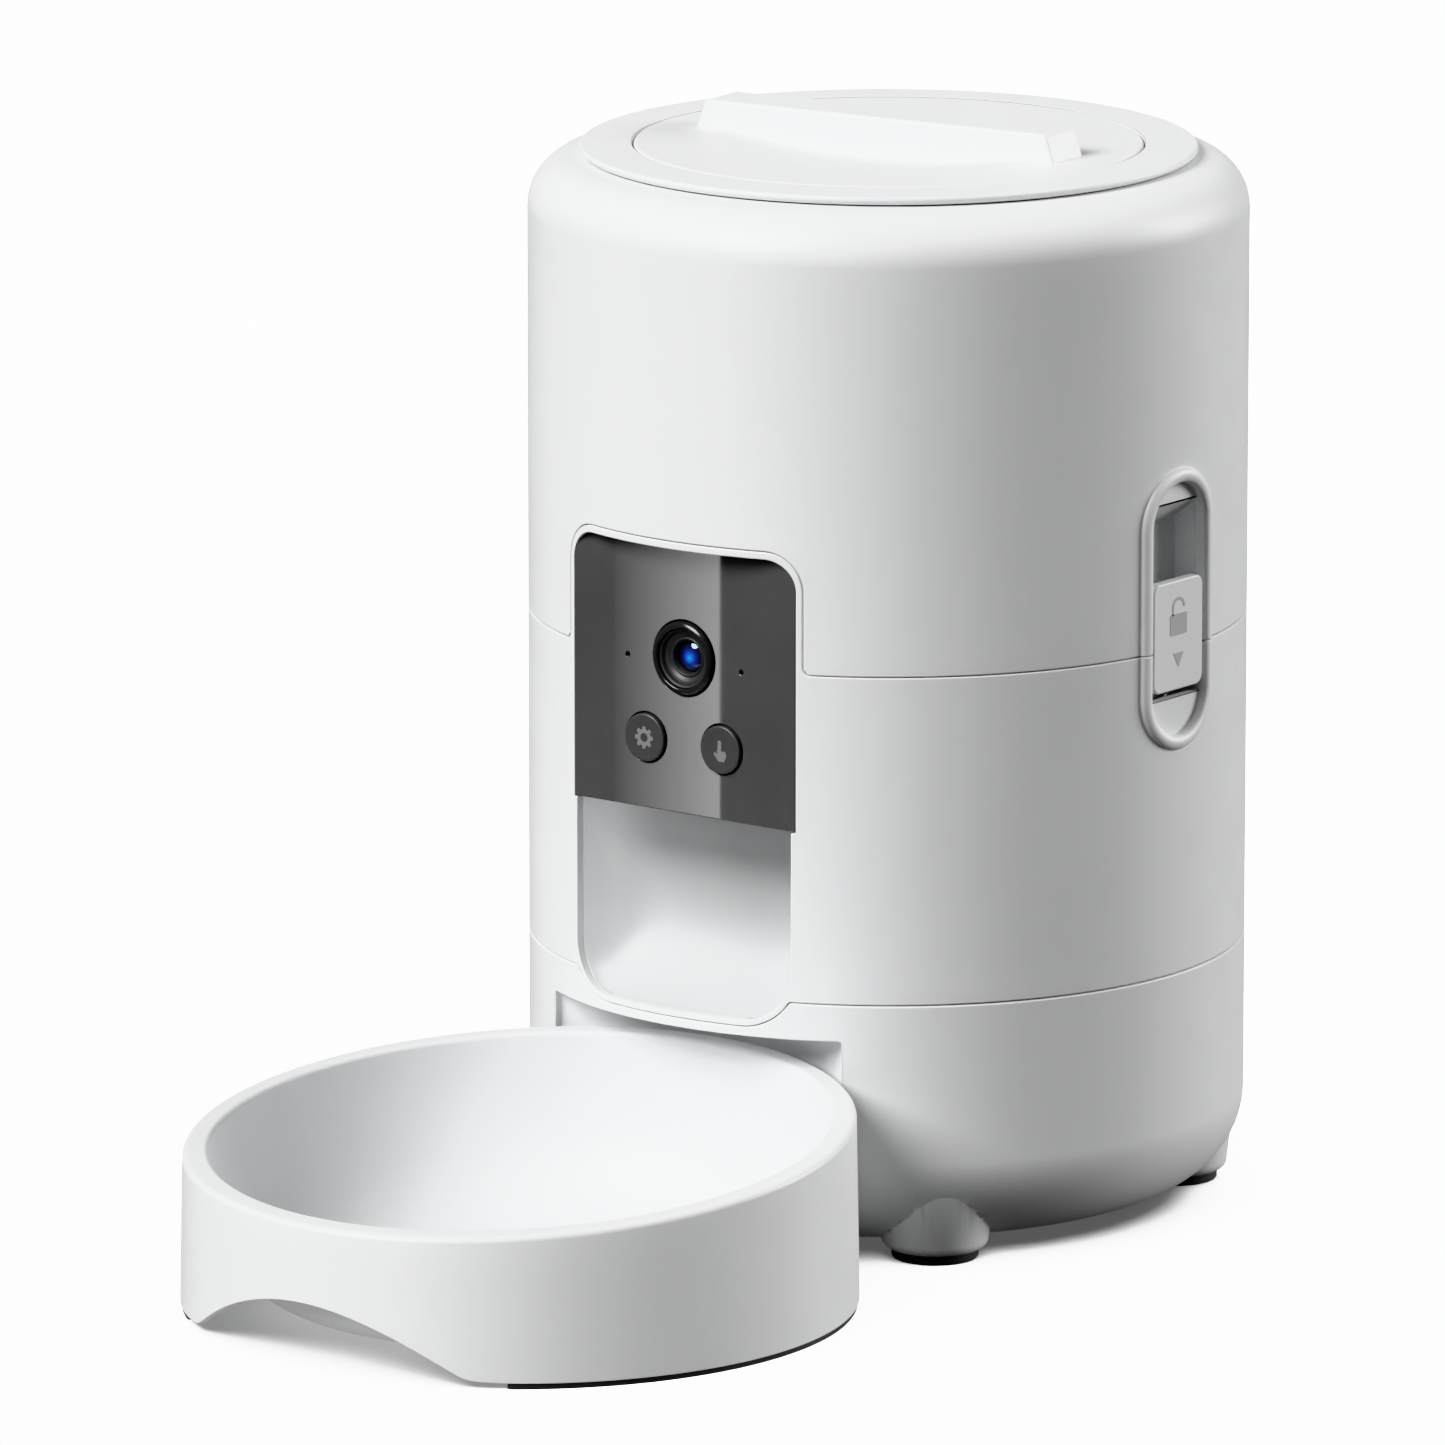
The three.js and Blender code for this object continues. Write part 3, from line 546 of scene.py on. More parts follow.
def glass_with_painted_glint(name, color, roughness):
    """Coated lens glass: a dark rim fading to the lens's blue tint, with a painted glint of bright cyan base
    colour set off centre, low and to the right.
    """
    n = Nodes(name, color, roughness)
    from_glint = n.node("VectorMath")
    from_glint.operation = "DISTANCE"
    n.link(n.place, from_glint.inputs[0])
    from_glint.inputs[1].default_value = to_metres((0.3, PANEL_Y + 2.4, LENS_Z - 0.3))
    rings = n.node("ValToRGB")
    # The first stops are a painted glint: bright cyan at the glint's spot, then the glass's own blue and the
    # dark rim.
    stops = [(0.0, (0.30, 0.85, 1.0)), (0.16, (0.06, 0.30, 0.75)), (0.42, (0.05, 0.07, 0.34)),
             (0.62, (0.05, 0.03, 0.12)), (0.8, (0.015, 0.016, 0.02)), (1.0, (0.008, 0.008, 0.01))]
    while len(rings.color_ramp.elements) < len(stops):
        rings.color_ramp.elements.new(0.5)
    for element, (place, shade) in zip(rings.color_ramp.elements, stops):
        element.position = place
        element.color = (*shade, 1)
    glint_reach = 4.2 * MM
    n.link(n.ramp(from_glint.outputs["Value"], end=glint_reach, start=0), rings.inputs["Fac"])
    n.link(rings.outputs["Color"], n.shader.inputs["Base Color"])
    n.bump(n.noise(900, 1), 0.02, 0.00001)
    fill(n.shader, Coat_Weight=1.0, Coat_Roughness=0.02, Coat_Tint=(0.55, 0.75, 1.0, 1))
    fill(n.shader, Specular_IOR_Level=0.8)
    return n.material


WHITE = moulded("white_plastic", (0.83, 0.835, 0.84), 0.46, grain=0.35)
# A darker copy of the casing's white for the bowl: painted shade that holds down its brightest inner
# surfaces.
BOWL_WHITE_PAINTED_SHADE = moulded("bowl_plastic_painted_shade", (0.785, 0.79, 0.795), 0.44, grain=0.3)
# A darker copy of the casing's white for the food mouth: painted shade that keeps its hollow dim.
CHUTE_WHITE_PAINTED_SHADE = moulded("chute_plastic_painted_shade", (0.69, 0.695, 0.7), 0.48, grain=0.3)
BIN = moulded("bin_plastic", (0.74, 0.76, 0.77), 0.3, grain=0.1)
PANEL = glossy("panel_gloss", (0.09, 0.09, 0.0905), 0.02)
BUTTON = moulded("button_plastic", (0.075, 0.075, 0.076), 0.35, grain=0.15)
PRINT = moulded("grey_print", (0.22, 0.22, 0.22), 0.5, grain=0.2)
EMBOSS = moulded("tab_print", (0.5, 0.5, 0.5), 0.55, grain=0.2)
DARK = moulded("dark_plastic", (0.045, 0.045, 0.046), 0.3, grain=0.15)
RING = glossy("gloss_ring", (0.03, 0.03, 0.03), 0.12)
CONE = moulded("camera_cone", (0.045, 0.045, 0.046), 0.42, grain=0.1)
LENS_WITH_PAINTED_GLINT = glass_with_painted_glint("lens_glass", (0.02, 0.05, 0.16), 0.03)
LIGHT_PIPE = moulded("light_pipe", (0.4, 0.55, 0.7), 0.15, grain=0.0, coat=1.0)
RUBBER = rubbery("black_rubber", (0.045, 0.045, 0.045))
SILICONE = rubbery("grey_silicone", (0.36, 0.38, 0.39), 0.6)
ACETAL = moulded("natural_acetal", (0.68, 0.66, 0.58), 0.4, grain=0.12)
STEEL = metal("plated_steel", (0.56, 0.57, 0.58), 0.3)
CELL = metal("cell_jacket", (0.05, 0.10, 0.20), 0.35, (1, 30, 1))
BOARD = board_material()


# ---------- round casings ----------
def on_shell(s, t, side, relief=None):
    """A point on the round casing. s runs round it from the front, t up it and over the shoulder."""
    depth = WALL * side
    if t <= SHOULDER_Z:
        radius, z = R - depth, t
    else:
        turn = min((t - SHOULDER_Z) / SHOULDER_R, SHOULDER_TURN)
        rest = t - SHOULDER_Z - turn * SHOULDER_R
        reach = SHOULDER_R - depth
        radius = R - SHOULDER_R + reach * math.cos(turn) - max(rest, 0)
        z = SHOULDER_Z + reach * math.sin(turn) + max(rest, 0) * 0.06
    if relief and not side:
        radius += relief(s, t)
    angle = s / R
    if side and abs(angle) < STRAIGHT_TURN:
        # Near the front the wall is cut straight through, so its inside keeps the x of its outside.
        straight = math.copysign(math.asin(min(1, R * math.sin(abs(angle)) / radius)), angle)
        share = min(1, (STRAIGHT_TURN - abs(angle)) / STRAIGHT_FADE)
        angle += (straight - angle) * share
    return (radius * math.sin(angle), -radius * math.cos(angle), z)


def arc_length(x):
    """Where a plan position x meets the casing, as a length round it."""
    return R * math.asin(x / R)


def latch_distance(s, t):
    """Distance from the middle line of the nearer latch opening."""
    across = abs(abs(s) - LATCH_S)
    along = max(LATCH_LOW - t, t - LATCH_HIGH, 0)
    return math.hypot(across, along)


def bead_relief(s, t):
    """The raised round bead along the edge of each latch opening."""
    u = abs(latch_distance(s, t) - LATCH_HALF - BEAD / 2) / (BEAD / 2)
    return BEAD_RISE * (1 - u ** 2.4) ** 0.5 if u < 1 else 0


def latch_line(side, offset, seam, upper):
    """The line round a latch opening at an offset, from the seam and back, on one side of the body."""
    middle = side * LATCH_S
    centre = LATCH_HIGH if upper else LATCH_LOW
    bend = arc(middle, centre, offset, 180, 0 if upper else 360, 24)
    line = [(middle - offset, seam)] + bend + [(middle + offset, seam)]
    return subdivide(line, 4, closed=False)


BEAD_OFFSETS = [LATCH_HALF + BEAD * k for k in (0.04, 0.12, 0.25, 0.4, 0.5, 0.6, 0.75, 0.88, 0.96, 1.0, 1.12)]


def latch_edge(side, seam, upper):
    """The edge of a latch opening, with the points where the bead's lines meet the seam beside it."""
    middle = side * LATCH_S
    before = [(middle - offset, seam) for offset in reversed(BEAD_OFFSETS)]
    after = [(middle + offset, seam) for offset in BEAD_OFFSETS]
    return before + latch_line(side, LATCH_HALF, seam, upper) + after


COLUMNS = steps_between(-BACK_S, BACK_S, BACK_S / 60)[1:-1]


def tongue_line(gap):
    """From the seam at the left, over the tongue and down to the seam at the right."""
    half = arc_length(TONGUE_HALF + gap)
    top = TONGUE_TOP + gap
    corner = TONGUE_CORNER + gap
    seam = HOPPER_LOW if gap else MID_TOP
    foot = 2.0 + (0 if gap else SEAM)
    line = arc(-half - foot, seam + foot, foot, -90, 0, 5)
    line += arc(-half + corner, top - corner, corner, 180, 90, 12)
    line += arc(half - corner, top - corner, corner, 90, 0, 12)
    line += arc(half + foot, seam + foot, foot, 180, 270, 5)
    return line


def casing(outline, holes, rows, seam, upper):
    """A casing's sheet round the body, with the latches' beads along its openings."""
    guides = [latch_line(side, offset, seam, upper) for side in (-1, 1) for offset in BEAD_OFFSETS]
    return sheet(subdivide(outline, CASING_STEP), holes, guides, COLUMNS, rows,
                 lambda s, t, side: on_shell(s, t, side, bead_relief), BACK_S)


def hopper_casing():
    slope_r = R - SHOULDER_R * (1 - math.cos(SHOULDER_TURN))
    end = SHOULDER_Z + SHOULDER_R * SHOULDER_TURN + slope_r - NECK_R - 0.4
    levels = steps_between(HOPPER_LOW, end, CASING_STEP)
    outline = [(-BACK_S, t) for t in levels[::-1]]
    outline += latch_edge(-1, HOPPER_LOW, True) + tongue_line(SEAM) + latch_edge(1, HOPPER_LOW, True)
    outline += [(BACK_S, t) for t in levels] + [(s, end) for s in reversed(COLUMNS)]
    rows = steps_between(HOPPER_LOW, SHOULDER_Z, CASING_STEP)[1:] + steps_between(SHOULDER_Z, end, 1.9)[1:-1]
    return casing(outline, [], rows, HOPPER_LOW, True)


def opening_outline(grow=0.0):
    """The round-ended latch opening as a Y-Z outline."""
    half = LATCH_HALF + grow
    return arc(0, LATCH_HIGH, half, 0, 180, 24) + arc(0, LATCH_LOW, half, 180, 360, 24)


def latch_pocket(low, high):
    """Walls and floor of the pocket behind a latch opening, on the side of +X."""
    outside = prism(opening_outline(2.0), LATCH_BACK - 2, R - WALL + 0.4, "x")
    space = prism(opening_outline(), LATCH_BACK, R + 5, "x")
    return cut(common(outside, block(80, 110, -30, 30, low, high)), space)


def sloping_top():
    """The filled top of the pocket, whose underside slopes down to the back wall."""
    filler = prism([(LATCH_BACK - 1, 199.9), (98.2, 207.3), (98.2, 216), (LATCH_BACK - 1, 216)], -15, 15, "y")
    return common(filler, prism(opening_outline(0.3), 85, 105, "x"))


MIRROR = Matrix.Scale(-1, 4, (1, 0, 0))


def both(body):
    return [body, body.moved(MIRROR)]


def make_hopper():
    neck = turned_ring(NECK_R, NECK_R + 2.5, 286, 292, 128)
    keeper = block(LATCH_BACK - 1, 93, -6, 6, 171.5, 174)
    pockets = both(latch_pocket(HOPPER_LOW, 220)) + both(sloping_top()) + both(keeper)
    shell = hopper_casing().merge(neck, *pockets)
    piece("hopper_casing", shell, "hopper", WHITE, ["hopper_shell"])


def mouth_outline(grow, top):
    return plate_outline(MOUTH_HALF + grow, MOUTH_BOTTOM - grow, top, MOUTH_CORNER + grow, 0, 14)


def wrapped(outline):
    """An outline in front view laid round the casing."""
    return [(arc_length(x), z) for x, z in outline]


def panel_recess(low):
    return plate_outline(PANEL_HALF + PANEL_GAP, low, PANEL_HIGH.z + PANEL_GAP, 0, PANEL_CORNER, 12)


def middle_casing():
    # The lower edge follows the mouth's lip where the mouth dips under the seam.
    reach = MOUTH_CORNER + LIP
    centre_x = MOUTH_HALF - MOUTH_CORNER
    centre_z = MOUTH_BOTTOM + MOUTH_CORNER
    turn = math.degrees(math.asin((centre_z - MID_LOW) / reach))
    dip = arc(-centre_x, centre_z, reach, 180 + turn, 270, 10)
    dip += arc(centre_x, centre_z, reach, 270, 360 - turn, 10)
    levels = steps_between(MID_LOW, MID_TOP, CASING_STEP)
    outline = [(-BACK_S, t) for t in levels[::-1]]
    outline += subdivide([(-BACK_S, MID_LOW)] + wrapped(dip) + [(BACK_S, MID_LOW)], 4, closed=False)[1:-1]
    outline += [(BACK_S, t) for t in levels]
    top = latch_edge(-1, MID_TOP, False) + tongue_line(0) + latch_edge(1, MID_TOP, False)
    outline += top[::-1]
    # One hole serves the panel and, under its sill, the food mouth.
    panel = panel_recess(SILL)
    mouth = mouth_outline(0, SILL)
    half = len(mouth) // 2
    hole = wrapped(subdivide(mouth[half - 1:half] + panel + mouth[half:] + mouth[:half - 1], 4))
    return casing(outline, [hole], steps_between(MID_LOW, TONGUE_TOP, CASING_STEP)[1:-1], MID_TOP, False)


def make_middle():
    # The flat tray that carries the panel, the walls of its recess and the closed back of the tongue.
    outline = plate_outline(TONGUE_HALF - 1.0, SILL, TONGUE_TOP - 1.0, 0, TONGUE_CORNER - 1, 12)
    inner = panel_recess(PANEL_LOW.z - 1)
    frame_ring = cut(prism(outline, -R - 1, TRAY_BACK, "y"), prism(inner, -R - 2, PANEL_HIGH.y + 0.3, "y"))
    frame_ring = common(frame_ring, cylinder(R - 0.6, 60, 260, 256))
    hollow = plate_outline(TONGUE_HALF - 2.4, PANEL_LOW.z + 2, TONGUE_TOP - 2.4, 0, 9, 12)
    tube = cut(prism(outline, TRAY_BACK - 0.5, TONGUE_BACK, "y"), prism(hollow, TRAY_BACK - 2, -70, "y"))
    holes = [rod_y(LENS_HOLE_R, -99, -80, 0, LENS_Z)]
    holes += [rod_y(BUTTON_R + BUTTON_GAP, -99, -80, side * BUTTON_X, BUTTON_Z) for side in (-1, 1)]
    tray = cut(frame_ring, *holes)
    deck = turned_ring(65, R - WALL + 0.3, 158, 160.6, 96)
    deck = cut(deck, block(-MOUTH_HALF, MOUTH_HALF, -R, -60, 150, 170))
    pockets = both(latch_pocket(140, MID_TOP))
    tab_plate = common(block(96.0, 98.5, -15, 15, 138, 153), prism(opening_outline(0.3), 85, 105, "x"))
    shell = middle_casing().merge(tray, tube, deck, *pockets, *both(tab_plate))
    piece("middle_casing", shell, "base", WHITE, ["mid_shell"])


def make_base():
    side = R - BASE_FILLET
    middle = BASE_LOW + BASE_FILLET

    def cup(depth, top):
        """The casing's outside, or its inside at a depth under it, filled up to a height."""
        curve = arc(side, middle, BASE_FILLET - depth, -90, 0, 24)
        return spin([(0, BASE_LOW + depth)] + curve + [(R - depth, top), (0, top)], 192, closed=False)

    outer = cup(0, BASE_TOP)
    feet = [(f.x + FOOT_PAD_R, f.y + FOOT_PAD_R) for f in FOOT_PADS]
    sole = [(0, 2.8), (11.8, 2.8)] + arc(11.9, 5.7, 2.9, -90, 0, 8)
    legs = [spin(sole + [(16.9, 24), (0, 24)], 96, f, closed=False) for f in feet]

    def recess(grow):
        half, low, top = RECESS_HALF + grow, BASE_LOW if grow else -1, RECESS_TOP + grow
        front = block(-half, half, -R - 1, 0, low, top)
        return common(front, cylinder(RECESS_R + grow, -2, top, 192, (0, BOWL_Y)))

    shell = cut(join(outer, *legs), cup(WALL, BASE_TOP + 1))
    columns = [cylinder(5.5, 5.4, 72, 24, f) for f in feet]
    pad_holes = [cylinder(FOOT_PAD_R + 0.4, -1, 3.4, 64, f) for f in feet]
    screw_hole = [(0, -2), (3.4, -2), (3.4, 60.4), (1.8, 60.4), (1.8, 80), (0, 80)]
    screw_holes = [spin(screw_hole, 24, f, closed=False) for f in feet]
    bay = block(COVER_LOW.x - 0.4, COVER_HIGH.x + 0.4, COVER_LOW.y - 0.4, COVER_HIGH.y + 0.4, 0, 8)
    slots = [prism(slot_outline(10, 1.2, SPEAKER.x, SPEAKER.y + 6 * (i - 1.5)), 0, 10, "z") for i in range(4)]
    mouth = prism(mouth_outline(LIP + SEAM, 130), -R - 1, -80, "y")
    inlet = rod_y(5.8, 90, 101, 0, INLET_Z)
    shell = join(shell, common(recess(WALL), outer), *columns)
    shell = cut(shell, recess(0), mouth, *pad_holes, *screw_holes, bay, *slots, inlet)
    piece("base_casing", shell, "base", WHITE, ["base_shell"], 0.5, 3, 40, 0.02)
    # The pads have two round grooves underneath.
    tread = [(0, 0), (3, 0), (3.3, 0.4), (4.2, 0.4), (4.5, 0)]
    tread += [(7, 0), (7.3, 0.4), (8.2, 0.4), (8.5, 0), (11, 0)]
    tread += arc(FOOT_PAD_R - 0.8, 0.8, 0.8, -90, 0, 5) + [(FOOT_PAD_R, 3.1), (0, 3.1)]
    for number, foot in enumerate(feet, 1):
        pad = spin(tread, 64, foot, closed=False)
        piece(f"rubber_foot_{number}", pad, "base", RUBBER, [f"foot_pad_{number}"], 0)


def slot_outline(half, radius, x, y):
    return (arc(x + half - radius, y, radius, -90, 90, 8) + arc(x - half + radius, y, radius, 90, 270, 8))


# ---------- food mouth and chute ----------
CHUTE_HALF = MOUTH_HALF - 0.1
CHUTE_R = R - WALL - 0.1
COVE_HIGH = 24.0
BACK_CORNER = 14.0
DUCT_HALF = 26.0
DUCT_LOW = 118.9
DUCT_HIGH = 122.4
CHUTE_WALL = 4.0


def casing_y(x):
    return -math.sqrt(CHUTE_R ** 2 - x ** 2)


def full_section():
    """Plan of the mouth where it is deepest: two side walls, two round corners and a flat back."""
    side_y = casing_y(CHUTE_HALF)
    turn = arc(BACK_CORNER - CHUTE_HALF, MOUTH_BACK - BACK_CORNER, BACK_CORNER, 180, 90, 18)
    left = [(-CHUTE_HALF, side_y + (turn[0][1] - side_y) * k / 5) for k in range(5)] + turn
    flat = [((CHUTE_HALF - BACK_CORNER) * (k / 14 - 1), MOUTH_BACK) for k in range(1, 28)]
    return left + flat + [(-x, y) for x, y in reversed(left)]


def chute_row(z):
    """The mouth's plan at a height. Low down it narrows and hugs the casing, which makes the cove."""
    rise = min(max(z - MOUTH_BOTTOM, 0), MOUTH_CORNER)
    half = CHUTE_HALF - MOUTH_CORNER + math.sqrt(MOUTH_CORNER ** 2 - (MOUTH_CORNER - rise) ** 2)
    up = min(max(z - MOUTH_BOTTOM, 0) / COVE_HIGH, 1)
    share = (1 - (1 - up) ** 2.2) ** (1 / 1.8)
    row = []
    for x, y in full_section():
        narrow = x * half / CHUTE_HALF
        row.append((narrow, casing_y(narrow) + (y - casing_y(x)) * share, z))
    return row


def flared_opening():
    """Cutter for the duct's opening in the back wall, with edges that roll over into the duct."""
    flare = 1.1
    rings = []
    for k in range(9):
        turn = math.pi / 2 * k / 8
        grow = flare * (1 - math.sin(turn))
        depth = MOUTH_BACK + flare * (1 - math.cos(turn))
        corner = plate_outline(DUCT_HALF + grow, DUCT_LOW - grow, 140, 5 + grow, 0, 8)
        rings.append([(x, depth, z) for x, z in corner])
    rings = [[(x, MOUTH_BACK - 6, z) for x, _, z in rings[0]]] + rings
    rings.append([(x, MOUTH_BACK + 8, z) for x, _, z in rings[-1]])
    return loft(rings)


def make_chute():
    heights = [MOUTH_BOTTOM + COVE_HIGH * (k / 30) ** 1.9 for k in range(31)]
    heights += steps_between(MOUTH_BOTTOM + COVE_HIGH, SILL, 3)[1:]
    grid = [[Vector(p) for p in chute_row(z)] for z in heights]
    body = cut(thick_grid(grid, CHUTE_WALL), flared_opening())
    ceiling = block(-CHUTE_HALF - 1, CHUTE_HALF + 1, -82, -77.2, MOUTH_TOP, SILL - 0.1)
    hood = block(-DUCT_HALF - 2, DUCT_HALF + 2, -77.4, -69, DUCT_HIGH + 0.1, DUCT_HIGH + 2.1)

    def duct(grow, back):
        ramp_y, ramp_z = -36.5, 124.6
        profile = [(back, DUCT_LOW - grow), (ramp_y + grow, ramp_z - 1.8 * grow), (ramp_y + grow, ramp_z),
                   (-62 - grow, ramp_z), (-70, DUCT_HIGH + grow), (back, DUCT_HIGH + grow)]
        return prism(profile, -DUCT_HALF - grow, DUCT_HALF + grow, "x")

    tunnel = cut(duct(2.2, MOUTH_BACK + 3.6), duct(0, MOUTH_BACK - 4))
    body.merge(ceiling, hood, tunnel)
    return piece("food_chute", body, "base", CHUTE_WHITE_PAINTED_SHADE, ["chute_duct"], 0.3, 3, 40)


def thick_grid(grid, thickness):
    """A closed sheet from rows of points; it grows away from the side that the rows' turn faces."""
    rows, columns = len(grid), len(grid[0])

    def normal(i, j):
        up = grid[min(i + 1, rows - 1)][j] - grid[max(i - 1, 0)][j]
        along = grid[i][min(j + 1, columns - 1)] - grid[i][max(j - 1, 0)]
        across = up.cross(along)
        return across.normalized() if across.length > 1e-9 else Vector((0, 0, -1))

    cells = [(i, j) for i in range(rows) for j in range(columns)]
    front = [grid[i][j] for i, j in cells]
    back = [grid[i][j] + normal(i, j) * thickness for i, j in cells]
    faces = [(k, k + 1, k + columns + 1, k + columns)
             for k in range(columns * (rows - 1)) if (k + 1) % columns]
    return thickened(front, back, faces)


# ---------- control panel, camera and buttons ----------
def circle(x, z, radius, count=64):
    angles = [TAU * k / count for k in range(count)]
    return [(x + radius * math.cos(a), z + radius * math.sin(a)) for a in angles]


def make_panel():
    outline = plate_outline(PANEL_HALF, PANEL_LOW.z, PANEL_HIGH.z, 0, PANEL_CORNER, 16)
    holes = [circle(0, LENS_Z, 10.6, 96)]
    holes += [circle(side * BUTTON_X, BUTTON_Z, BUTTON_R + BUTTON_GAP, 72) for side in (-1, 1)]
    holes += [circle(side * PIN_X, PIN_Z, 0.7, 20) for side in (-1, 1)]
    thickness = PANEL_HIGH.y - PANEL_Y
    columns = steps_between(-PANEL_HALF, PANEL_HALF, PANEL_STEP)[1:-1]
    rows = steps_between(PANEL_LOW.z, PANEL_HIGH.z, PANEL_STEP)[1:-1]
    panel = sheet(subdivide(outline, PANEL_STEP), holes, [], columns, rows,
                  lambda s, t, side: (s, PANEL_Y + thickness * side, t))
    return piece("panel_face", panel, "base", PANEL, ["control_panel"], 0.35, 4, 40)


def make_camera():
    front = BEZEL_LOW.y
    foot = BEZEL_HIGH.y
    collar = arc(8.95, front + 0.6, 0.6, 215, 300, 8)
    edge = arc(9.1, front + 1.25, 1.2, -60, 0, 8)
    ring = [(8.4, foot), (8.4, front + 0.9)] + collar + edge + [(10.3, foot)]

    def turned(profile):
        return along_y(spin(profile, 128), 0, LENS_Z)

    piece("lens_ring", turned(ring), "base", RING, ["camera_bezel"], 0.1, 2)
    # Steps of the cone as (radius, depth behind the ring's front).
    steps = [(8.3, 1.0), (7.7, 1.2), (7.2, 2.3), (6.8, 2.3), (6.3, 2.6), (5.6, 3.0), (5.3, 2.7), (4.9, 2.8),
             (4.6, 3.5), (4.35, 4.2)]
    cone = [(r, front + depth) for r, depth in steps] + [(4.3, -84), (8.3, -84)]
    piece("lens_cone", turned(cone), "base", CONE, ["camera_barrel"], 0.12, 2)
    lens_front = cad("camera_lens")[0].y
    dome = [(0, lens_front)] + [(8 * math.sin(a), lens_front + 8 * (1 - math.cos(a)))
                                for a in steps_between(0.03, math.asin(4.1 / 8), 0.05)]
    lens = spin(dome + [(4.1, -85), (0, -85)], 96, closed=False)
    piece("lens_dome", along_y(lens, 0, LENS_Z), "base", LENS_WITH_PAINTED_GLINT, ["camera_lens"], 0.05, 2, 50)


def make_buttons():
    front = BUTTON_LOW.y - 0.4
    edge = arc(BUTTON_R - 0.5, front + 0.5, 0.5, -90, 0, 6)
    cap = [(0, front + 0.15), (3.5, front + 0.1), (BUTTON_R - 1.2, front)] + edge
    profile = cap + [(BUTTON_R, -87), (2, -87), (2, -86.2), (0, -86.2)]
    for name, side in (("set_button", -1), ("feed_button", 1)):
        button = along_y(spin(profile, 96, closed=False), side * BUTTON_X, BUTTON_Z)
        piece(f"{name}_cap", button, name, BUTTON, [name], 0.08, 2, 50)
    level = front + 0.1

    def mark(outline, x):
        """A thin printed shape round the middle of a button."""
        return prism([(x + a, BUTTON_Z + b) for a, b in outline], level - 0.08, level + 0.15, "y")

    # A gear wheel for the settings button.
    teeth = []
    for k in range(8):
        a = TAU * k / 8
        for r, d in ((2.35, -0.27), (3.15, -0.17), (3.15, 0.17), (2.35, 0.27)):
            teeth.append((r * math.cos(a + d), r * math.sin(a + d)))
    wheel = cut(mark(teeth, -BUTTON_X), rod_y(1.25, level - 1, level + 1, -BUTTON_X, BUTTON_Z, 32))
    piece("settings_mark", wheel, "set_button", PRINT, (), 0)
    # A hand with one raised finger for the feed button.
    finger = [(b - 0.1, a + 0.6) for a, b in slot_outline(2.1, 0.62, 0, 0)]
    palm = [(-1.0, -0.1), (2.0, -0.4), (2.3, -1.5), (1.5, -3.2), (-0.4, -3.2), (-2.2, -1.2), (-1.7, -0.7),
            (-0.8, -1.3)]
    hand = join(mark(finger, BUTTON_X), mark(palm, BUTTON_X))
    piece("feed_mark", hand, "feed_button", PRINT, (), 0)


# ---------- latches ----------
def make_latches():
    low, high = cad("latch_tab_right")
    face_x = high.x
    outline = plate_outline(high.y, low.z, high.z, 3, 3, 8)
    for side, name in ((1, "right"), (-1, "left")):
        tab = prism(outline, face_x - 3, face_x, "x")
        spine = block(94.5, face_x - 2.5, -5, 5, low.z, 180)
        nose = block(93.4, 95, -6, 6, 176, 179)
        seat = block(91.4, 95, -5, 5, low.z, 157.5)
        body = join(tab, spine, nose, seat)
        # Marks on the tab: an open padlock over a pointer that shows which way to press.
        shackle = common(ring_on_side(3.0, 2.2, 178.2), block(90, 110, -5, 5, 178.2, 190))
        leg = block(face_x - 0.1, face_x + 0.08, -3.0, -2.2, 176.2, 178.3)
        lock = prism(plate_outline(3.9, 170.6, 176.6, 0.6, 0.6, 4), face_x - 0.1, face_x + 0.08, "x")
        pointer = prism([(-2.4, 165.6), (2.4, 165.6), (0, 161.6)], face_x - 0.1, face_x + 0.08, "x")
        marks = shackle.merge(leg, lock, pointer)
        if side < 0:
            body, marks = body.moved(MIRROR), marks.moved(MIRROR)
        owner = f"latch_{name}"
        piece(f"press_tab_{name}", body, owner, WHITE, [f"latch_tab_{name}"], 0.5, 4, 40)
        piece(f"press_tab_marks_{name}", marks, owner, EMBOSS, (), 0)


def ring_on_side(outer, inner, z):
    """A flat ring on the face of the right-hand tab."""
    face_x = cad("latch_tab_right")[1].x
    turn = Matrix(((0, 0, 1, face_x), (0, 1, 0, 0), (-1, 0, 0, z), (0, 0, 0, 1)))
    return turned_ring(inner, outer, -0.1, 0.08, 48).moved(turn)


# ---------- lid ----------
def make_lid():
    floor, top = [corner.z for corner in cad("lid_frame")]
    inner = KNOB_R + 0.4
    edge = arc(R_LID - 0.9, top - 1.1, 0.9, -60, 90, 8)
    profile = [(inner, 294.5), (76, 294.5), (76, floor + 1.6), (6.3, floor + 1.6), (6.3, floor), (78, floor),
               (78, 294.5), (84.6, 294.5)] + edge + [(inner + 0.4, top), (inner, top - 0.4)]
    frame_body = spin(profile, 192)
    bearing = turned_ring(12.4, 14.5, 280.6, 288, 64)
    windows = [block(-6.4, 6.4, 70, 80, 281.9, 286.1).moved(Matrix.Rotation(math.radians(a), 4, "Z"))
               for a in (90, 210, 330)]
    lid = cut(join(frame_body, bearing), *windows)
    piece("lid_casing", lid, "lid", WHITE, ["lid_frame"], 0.3, 3, 40, 0.01)


